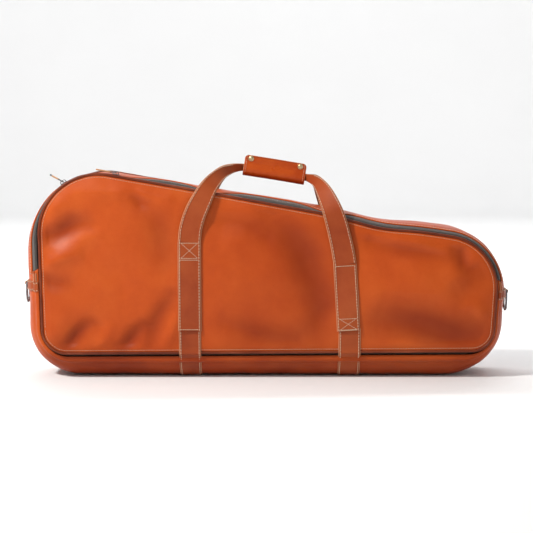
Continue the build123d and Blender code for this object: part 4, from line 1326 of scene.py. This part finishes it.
for tab_side, side, tab_z, bar_x in TABS:
    depths = np.linspace(-0.0742, 0.0742, 70)
    heights = tab_z + np.linspace(-0.5, 0.5, STRAP_COLS) * TAB_HEIGHT
    rows = []
    for y in depths:
        p, _, normal = shell_frames(y, end_place(y, side, heights))
        rows.append(p + normal * (LEATHER_LIFT + 0.0020))
    grid = np.array(rows)
    tab = solid_strap(f"ring_tab_{tab_side}", grid, 0.0020, STRAP, 0.0002)
    out = wrap_side(grid)
    edge_rows(f"ring_tab_{tab_side}", grid, out, (3, -4), THREAD, "case", "strap_leather", 0.0005, 0.0048)
    face_x = float(grid[35, 12, 0])
    lean = float(grid[35, -1, 0] - grid[35, 0, 0]) / TAB_HEIGHT
    loop = [(face_x - side * 0.0004, 0.0072), (face_x + side * 0.0016, 0.0066)]
    for a in np.radians(np.linspace(70, -70, 15)):
        loop.append((bar_x + side * 0.0041 * math.cos(a), 0.0041 * math.sin(a)))
    loop += [(face_x + side * 0.0016, -0.0066), (face_x - side * 0.0004, -0.0072)]
    run = smooth_run(np.array([(x + lean * z * max(0.0, 1 - abs(x - face_x) / 0.004), z) for x, z in loop]),
        40)
    across_y = np.linspace(-0.012, 0.012, STRAP_COLS)
    band = np.stack([np.broadcast_to(run[:, 0:1], (40, STRAP_COLS)),
            np.broadcast_to(across_y, (40, STRAP_COLS)),
            np.broadcast_to(tab_z + run[:, 1:2], (40, STRAP_COLS))], 2)
    loop_piece = solid_strap(f"ring_loop_{tab_side}", band, 0.0017, STRAP, 0.0001)
    done(loop_piece, "case", "strap_leather", f"ring_tab_{tab_side}")
    done(tab, "case", "strap_leather", f"ring_tab_{tab_side}")
    # the D-shaped ring, hanging from its straight bar
    bend = RING_HALF - 0.0005
    arc = np.radians(np.linspace(0, 180, 30))
    bow = [(math.cos(a) * RING_HALF, -RING_DROP + bend - math.sin(a) * bend) for a in arc]
    corner = np.radians(np.linspace(180, 90, 7))
    top_left = [(-RING_HALF + 0.003 + 0.003 * math.cos(a), -0.003 + 0.003 * math.sin(a)) for a in corner]
    bar = [(y, 0.0) for y in np.linspace(-0.0110, 0.0110, 8)]
    top_right = [(-y, z) for y, z in reversed(top_left)]
    ring_path = np.array([(bar_x, y, tab_z + z) for y, z in bow + top_left + bar + top_right])
    verts, faces = tube(ring_path, RING_WIRE, sides=16, closed=True)
    ring_piece = new_object(f"ring_{tab_side}", verts, faces, GUNMETAL)
    recalc(ring_piece)
    done(ring_piece, f"end_ring_{tab_side}", "ring_metal", f"ring_{tab_side}")

# ---- zip ends, sliders and pullers ----
for end_side, side, end_z in (("left", -1, ZIP_END_LEFT), ("right", 1, ZIP_END_RIGHT)):
    rows = []
    for y in np.linspace(-0.0732, -0.061, STRAP_COLS):
        p, _, normal = shell_frames(y, end_place(y, side, np.linspace(end_z - 0.016, end_z - 0.0015, 16)))
        rows.append(p + normal * 0.0026)
    grid = np.array(rows).transpose(1, 0, 2)
    done(solid_strap(f"zip_end_{end_side}", grid, 0.0018, STRAP, 0.0), "case", "strap_leather",
        f"zip_end_{end_side}")
    out = wrap_side(grid)
    ring_line = np.concatenate([grid[2:-2, 3], grid[-3, 4:-4], grid[2:-2, -4][::-1], grid[2, 4:-4][::-1]])
    ring_normals = out * np.concatenate([grid_normals(grid)[2:-2, 3], grid_normals(grid)[-3, 4:-4],
            grid_normals(grid)[2:-2, -4][::-1], grid_normals(grid)[2, 4:-4][::-1]])
    done(stitches(f"zip_end_{end_side}_stitches", ring_line, ring_normals, THREAD, 0.0034, 0.7, 0.00032),
        "case", "strap_leather")


class Spot:
    """A slider's own frame: X along the zip, Y to the back, Z outwards."""

    def __init__(self, origin, along):
        self.origin = np.asarray(origin, float)
        self.along = unit(along)
        self.out = np.array([-self.along[2], 0.0, self.along[0]])

    def points(self, local):
        local = np.asarray(local, float)
        return self.origin + local[:, 0:1] * self.along + local[:, 1:2] * DEPTH + local[:, 2:3] * self.out

    def turned(self, lift, degrees):
        """The frame of a puller on the slider's pin, standing up by some degrees."""
        a = math.radians(degrees)
        pin = self.origin + self.out * lift
        spot = Spot(pin, self.along * math.cos(a) - self.out * math.sin(a))
        return spot


PLATE_OUTLINE = [(-6.4, 1.6), (-5.6, 3.0), (-3.6, 3.9), (0.0, 4.2), (3.2, 4.1), (5.6, 3.5), (6.5, 2.2),
    (6.5, 0.9), (5.6, 0.0)]
PLATE_LEVEL = (2.1, 3.0)


def plate(spot, low, high):
    """A slider's plate: rounded at the back, with the two mouths of the rows at the front."""
    half = smooth_run(np.array(PLATE_OUTLINE), 26)
    loop = np.concatenate([half, np.stack([half[::-1][1:, 0], -half[::-1][1:, 1]], 1)]) / 1000
    rings = [(low, 0.94), (low + 0.25, 1.0), (high - 0.35, 1.0), (high, 0.90)]
    verts = np.concatenate([spot.points(np.column_stack([loop * k, np.full(len(loop), h / 1000)])) for h,
            k in rings])
    faces = grid_faces(4, len(loop), wrap_cols=True)
    faces += [tuple(range(len(loop))), tuple(3 * len(loop) + i for i in reversed(range(len(loop))))]
    return verts, faces


def flange(spot, y, low, high):
    """A wall of the slider, turned in from a plate's edge towards the tape."""
    path = spot.points([(x / 1000, y / 1000, 0) for x in (-4.4, -2.0, 1.0, 4.0, 5.4)])
    section = np.array([(0.30, high), (0.30, low + 0.15), (0.15, low), (-0.15, low), (-0.30, low + 0.15),
            (-0.30, high)]) / 1000
    return sweep([section] * 5, path, np.tile(DEPTH, (5, 1)), np.tile(spot.out, (5, 1)))


def slider(name, spot, body):
    """Two plates with turned-in walls, a post between them and an arched bridge for the puller."""
    low, high = PLATE_LEVEL
    pieces = [plate(spot, low, high), plate(spot, -high, -low)]
    for y in (-3.95, 3.95):
        pieces += [flange(spot, y, 1.75, low + 0.2), flange(spot, y, -1.75, -low - 0.2)]
    post = np.array([(0.36, 3.0), (-0.36, 3.0), (-0.36, -3.0), (0.36, -3.0)]) / 1000
    path = spot.points([(0, 0, -0.0018), (0, 0, 0.0018)])
    pieces.append(sweep([post] * 2, path, np.tile(DEPTH, (2, 1)), np.tile(spot.along, (2, 1))))
    arch = smooth_run(np.array([(-4.9, 2.7), (-4.7, 4.8), (-3.8, 6.6), (-1.8, 7.15), (1.8, 7.15), (3.8, 6.6),
                (4.7, 4.8), (4.9, 2.7)]), 34)
    path = spot.points(np.column_stack([arch[:, 0] / 1000, np.zeros(34), arch[:, 1] / 1000]))
    tangent = unit(np.gradient(path, axis=0))
    wide = np.tile(DEPTH, (34, 1))
    widths = 1 + 0.25 * np.abs(arch[:, 0] / 4.9) ** 3
    sections = [strip_section(0.0027 * k, 0.0012, 0.0004) for k in widths]
    pieces.append(sweep(sections, path, wide, unit(np.cross(tangent, wide))))
    body_piece = join(name, pieces, BLACK_NICKEL)
    recalc(body_piece)
    bevel(body_piece, 0.00015, 1)
    done(body_piece, body, "zip_metal", name)


def puller(name, spot, length, body, metal_tip):
    """A wire loop on the slider's bridge and a stitched leather pull folded over it."""
    wire = [(1.0, -2.6), (1.0, 2.6), (0.4, 3.1), (-8.4, 3.1), (-9.3, 2.3), (-9.3, -2.3), (-8.4, -3.1),
        (0.4, -3.1)]
    closed = np.array(wire + wire[:3])
    fine = smooth_run(closed, 90)
    start = int(np.argmin(np.abs(fine[:30] - closed[1]).sum(1)))
    stop = 45 + int(np.argmin(np.abs(fine[45:] - closed[9]).sum(1)))
    loop = fine[start:stop] / 1000
    verts, faces = tube(spot.points(np.column_stack([loop, np.zeros(len(loop))])), 0.00080, sides=10,
        closed=True)
    ring_piece = new_object(f"{name}_loop", verts, faces, BLACK_NICKEL)
    recalc(ring_piece)
    done(ring_piece, body, "zip_metal", name)
    end = -(9 + length)
    x = np.linspace(-7.9, end, 34) / 1000
    middle = spot.points(np.column_stack([x, np.zeros(34), np.zeros(34)]))
    near_end = np.clip((x - end / 1000) / 0.0030, 0, 1)
    width = 0.0066 * np.sqrt(np.clip(1 - (1 - near_end) ** 2, 0.12, 1)) * (0.86 + 0.14
        * np.linspace(0, 1, 34))
    loop_bulge = np.exp(-((np.linspace(0, 1, 34) / 0.07) ** 2)) * 0.0006
    thick = 0.0022 + loop_bulge
    sections = [strip_section(w, t, 0.0006, 0.0001) for w, t in zip(width, thick)]
    verts, faces = sweep(sections, middle, np.tile(DEPTH, (34, 1)), np.tile(spot.out, (34, 1)))
    strip = new_object(f"{name}_pull", verts, faces, PULL)
    recalc(strip)
    done(strip, body, "puller_leather", name)
    for side in (1, -1):
        row = [(-11.5, -2.1), (end + 3.2, -2.0), (end + 2.2, -1.0), (end + 2.2, 1.0), (end + 3.2, 2.0),
            (-11.5, 2.1), (-11.5, -2.1)]
        fine = [np.linspace(a, b, 12) for a, b in zip(np.array(row)[:-1], np.array(row)[1:])]
        row = np.concatenate(fine) / 1000
        line = spot.points(np.column_stack([row, np.full(len(row), side * 0.00112)]))
        done(stitches(f"{name}_stitches_{side}", line, np.tile(spot.out * side, (len(line), 1)), PALE_THREAD,
                0.0024, 0.7, 0.00022), body, "puller_leather")
    if metal_tip:
        x = np.linspace(end + 3.4, end - 0.3, 10) / 1000
        middle = spot.points(np.column_stack([x, np.zeros(10), np.zeros(10)]))
        w = 0.0066 * np.sqrt(np.clip(1 - ((np.linspace(0, 1, 10)) ** 3) * 0.8, 0.1, 1))
        verts, faces = sweep([strip_section(k, 0.0030, 0.0007) for k in w], middle, np.tile(DEPTH, (10, 1)),
            np.tile(spot.out, (10, 1)))
        tip = new_object(f"{name}_tip", verts, faces, GUNMETAL)
        recalc(tip)
        done(tip, body, "zip_metal")


ARC_CENTRE = np.array([-0.287468, 0.240312])
ARC_R = 0.115986
LEFT_ANGLE = math.radians(122.0)
LEFT_SPOT = Spot(
    (ARC_CENTRE[0] + ARC_R * math.cos(LEFT_ANGLE), ZIP_Y, ARC_CENTRE[1] + ARC_R * math.sin(LEFT_ANGLE)),
    (math.sin(LEFT_ANGLE), 0.0, -math.cos(LEFT_ANGLE)),
)
RIGHT_X = -0.261
RIGHT_SPOT = Spot((RIGHT_X, ZIP_Y, line_top(RIGHT_X)), (ALONG[0], 0.0, ALONG[1]))
PIN_LIFT = 0.0051
slider("slider_left", LEFT_SPOT, "zip_slider_left")
slider("slider_right", RIGHT_SPOT, "zip_slider_right")
puller("puller_left", LEFT_SPOT.turned(PIN_LIFT, 61.0), 16.0, "zip_puller_left", True)
puller("puller_right", RIGHT_SPOT.turned(PIN_LIFT, 0.0), 26.0, "zip_puller_right", False)

# ---- inside ----
LINING_IN = 0.010
LINING_Y = 0.0705
LINING_CUT = 0.024  # how far below the top line the lining ends


def lining_ends(y):
    """The two places where the lining's top meets its outline at depth y."""
    line = outline(depth_share(y), -LINING_IN)
    low, high = corners(0.0)[2], corners(0.0)[3]
    cut = high[1] + (low[1] - high[1]) * (line[:, 0] - high[0]) / (low[0] - high[0]) - LINING_CUT
    under = line[:, 1] < cut
    at = np.linspace(0, 1, SAMPLES)
    stop = at[(line[:, 0] > 0) & under].max()
    start = at[(line[:, 0] < 0) & under & (at > 0.5)].min()
    return start - 1.0, stop


def lining_row(y, count=240):
    """The lining's points at depth y, from its left top edge under to its right one."""
    start, stop = lining_ends(y)
    line = outline(depth_share(y), -LINING_IN)
    at = np.linspace(start, stop, count) % 1.0
    t = np.linspace(0, 1, SAMPLES)
    x, z = np.interp(at, t, line[:, 0]), np.interp(at, t, line[:, 1])
    return np.stack([x, np.full(count, y), z], 1)


def build_lining():
    """A cloth bag open at the top: front face, bottom and back face in one run, with loose folds."""
    levels_y = list(np.linspace(-LINING_Y, LINING_Y, 36))
    belt_rows = [lining_row(y) for y in levels_y]
    grid = []
    for edge, order in ((belt_rows[0], np.linspace(0, 1, 46)[:-1]),
        (belt_rows[-1], np.linspace(1, 0, 46)[1:])):
        top = edge[0] + (edge[-1] - edge[0]) * np.linspace(0, 1, len(edge))[:, None]
        face = [top * (1 - k) + edge * k for k in order]
        grid.append(face)
    rows = np.array(grid[0] + belt_rows + grid[1])
    flat = rows.reshape(-1, 3)
    fold = wrinkle(flat * np.array([1.0, 0.6, 0.35]), 26.0, 9) * 0.0018 + wrinkle(flat, 70.0, 10) * 0.0005
    facing = np.clip(np.abs(flat[:, 1]) / LINING_Y, 0, 1)
    inward = np.stack([-flat[:, 0] * 0.0, -np.sign(flat[:, 1]) * facing, (1 - facing) * 0.6], 1)
    flat = flat + inward * (np.abs(fold) * 1.5)[:, None]
    obj = new_object("lining", flat, grid_faces(*rows.shape[:2]), CLOTH)
    face_out(obj)
    thicken(obj, 0.0008)
    done(obj, "case", "lining_cloth", "lining")
    hem_line = np.concatenate([rows[0], rows[-1][::-1]])
    hem_line = hem_line + np.array([0, 0, 0.0002])
    verts, faces = tube(hem_line[:: 2], 0.0013, sides=8, closed=True)
    hem_piece = new_object("lining_hem", verts, faces, CLOTH)
    recalc(hem_piece)
    done(hem_piece, "case", "lining_cloth")


build_lining()


def finish_node(node, material, rounding):
    """Gives a CAD node that shows as it is its material and softened edges."""
    obj = bpy.data.objects[node]
    obj.data.materials.clear()
    obj.data.materials.append(material)
    edge = obj.modifiers.new("edges", "BEVEL")
    edge.width = rounding
    edge.segments = 3
    edge.limit_method = "ANGLE"


for kept_node, kept_material, rounding in (
    ("base_board", BOARD, 0.0006),
    ("cue_cradle_left", FOAM, 0.0015),
    ("cue_cradle_right", FOAM, 0.0015),
    ("cue_strap_left", WEBBING, 0.0005),
    ("cue_strap_right", WEBBING, 0.0005),
):
    finish_node(kept_node, kept_material, rounding)

# ---- camera, light and floor ----
CAMERA_FROM = Vector((0.0, -2.60, 0.430))
CAMERA_AT = Vector((-0.0005, 0.0, 0.190))
VIEW_WIDTH = 0.949  # width of the picture at the case's middle


def add_camera():
    data = bpy.data.cameras.new("camera")
    camera = bpy.data.objects.new("camera", data)
    bpy.context.scene.collection.objects.link(camera)
    camera.location = CAMERA_FROM
    look = CAMERA_AT - CAMERA_FROM
    camera.rotation_euler = look.to_track_quat("-Z", "Y").to_euler()
    data.sensor_width = 36.0
    data.lens = 36.0 * look.length / VIEW_WIDTH
    data.clip_end = 50.0
    bpy.context.scene.camera = camera


def area_light(name, place_at, aim, size, power, colour=(1, 1, 1)):
    data = bpy.data.lights.new(name, "AREA")
    data.shape = "RECTANGLE"
    data.size, data.size_y = size
    data.energy = power
    data.color = colour
    light = bpy.data.objects.new(name, data)
    bpy.context.scene.collection.objects.link(light)
    light.location = place_at
    light.rotation_euler = (Vector(aim) - Vector(place_at)).to_track_quat("-Z", "Y").to_euler()


STAGE_REACH, STAGE_CURVE, STAGE_TOP = 5.0, 1.5, 7.0


def add_stage():
    """A pale round floor that curves up into a wall all the way round."""
    profile = [(0.02, 0.0), (1.5, 0.0), (3.0, 0.0)]
    for a in np.linspace(0, math.pi / 2, 18):
        profile.append((STAGE_REACH + STAGE_CURVE * math.sin(a), STAGE_CURVE * (1 - math.cos(a))))
    profile.append((STAGE_REACH + STAGE_CURVE, STAGE_TOP))
    turns = np.linspace(0, 2 * math.pi, 96, endpoint=False)
    grid = np.array([[(r * math.cos(t), r * math.sin(t), z) for t in turns] for r, z in profile])
    faces = grid_faces(len(profile), len(turns), wrap_cols=True) + [tuple(range(len(turns)))]
    n = Nodes("stage_paint")
    tint = n.ramp(n.noise(1.5), (0.3, (0.86, 0.86, 0.86)), (0.7, (0.88, 0.88, 0.88)))
    new_object("stage_floor", grid.reshape(-1, 3), faces, n.finish(tint, 0.9))


def add_light():
    world = bpy.data.worlds.new("studio")
    world.use_nodes = True
    world.node_tree.nodes["Background"].inputs["Color"].default_value = (0.95, 0.97, 1.0, 1)
    world.node_tree.nodes["Background"].inputs["Strength"].default_value = 0.30
    bpy.context.scene.world = world
    area_light("key", (-1.75, -1.45, 2.25), (0, 0, 0.17), (0.30, 0.30), 86, (1.0, 0.975, 0.94))
    area_light("softbox", (-0.7, -2.3, 1.35), (0, 0, 0.17), (0.7, 0.7), 8, (1.0, 0.97, 0.95))
    area_light("top", (0.2, 0.6, 2.4), (0, 0, 0.2), (2.4, 1.2), 4)
    area_light("back_wash", (0.0, 1.4, 2.8), (0, 3.4, 0.8), (3.0, 1.0), 150)


add_camera()
add_stage()
add_light()
bpy.context.scene.view_settings.view_transform = "Standard"
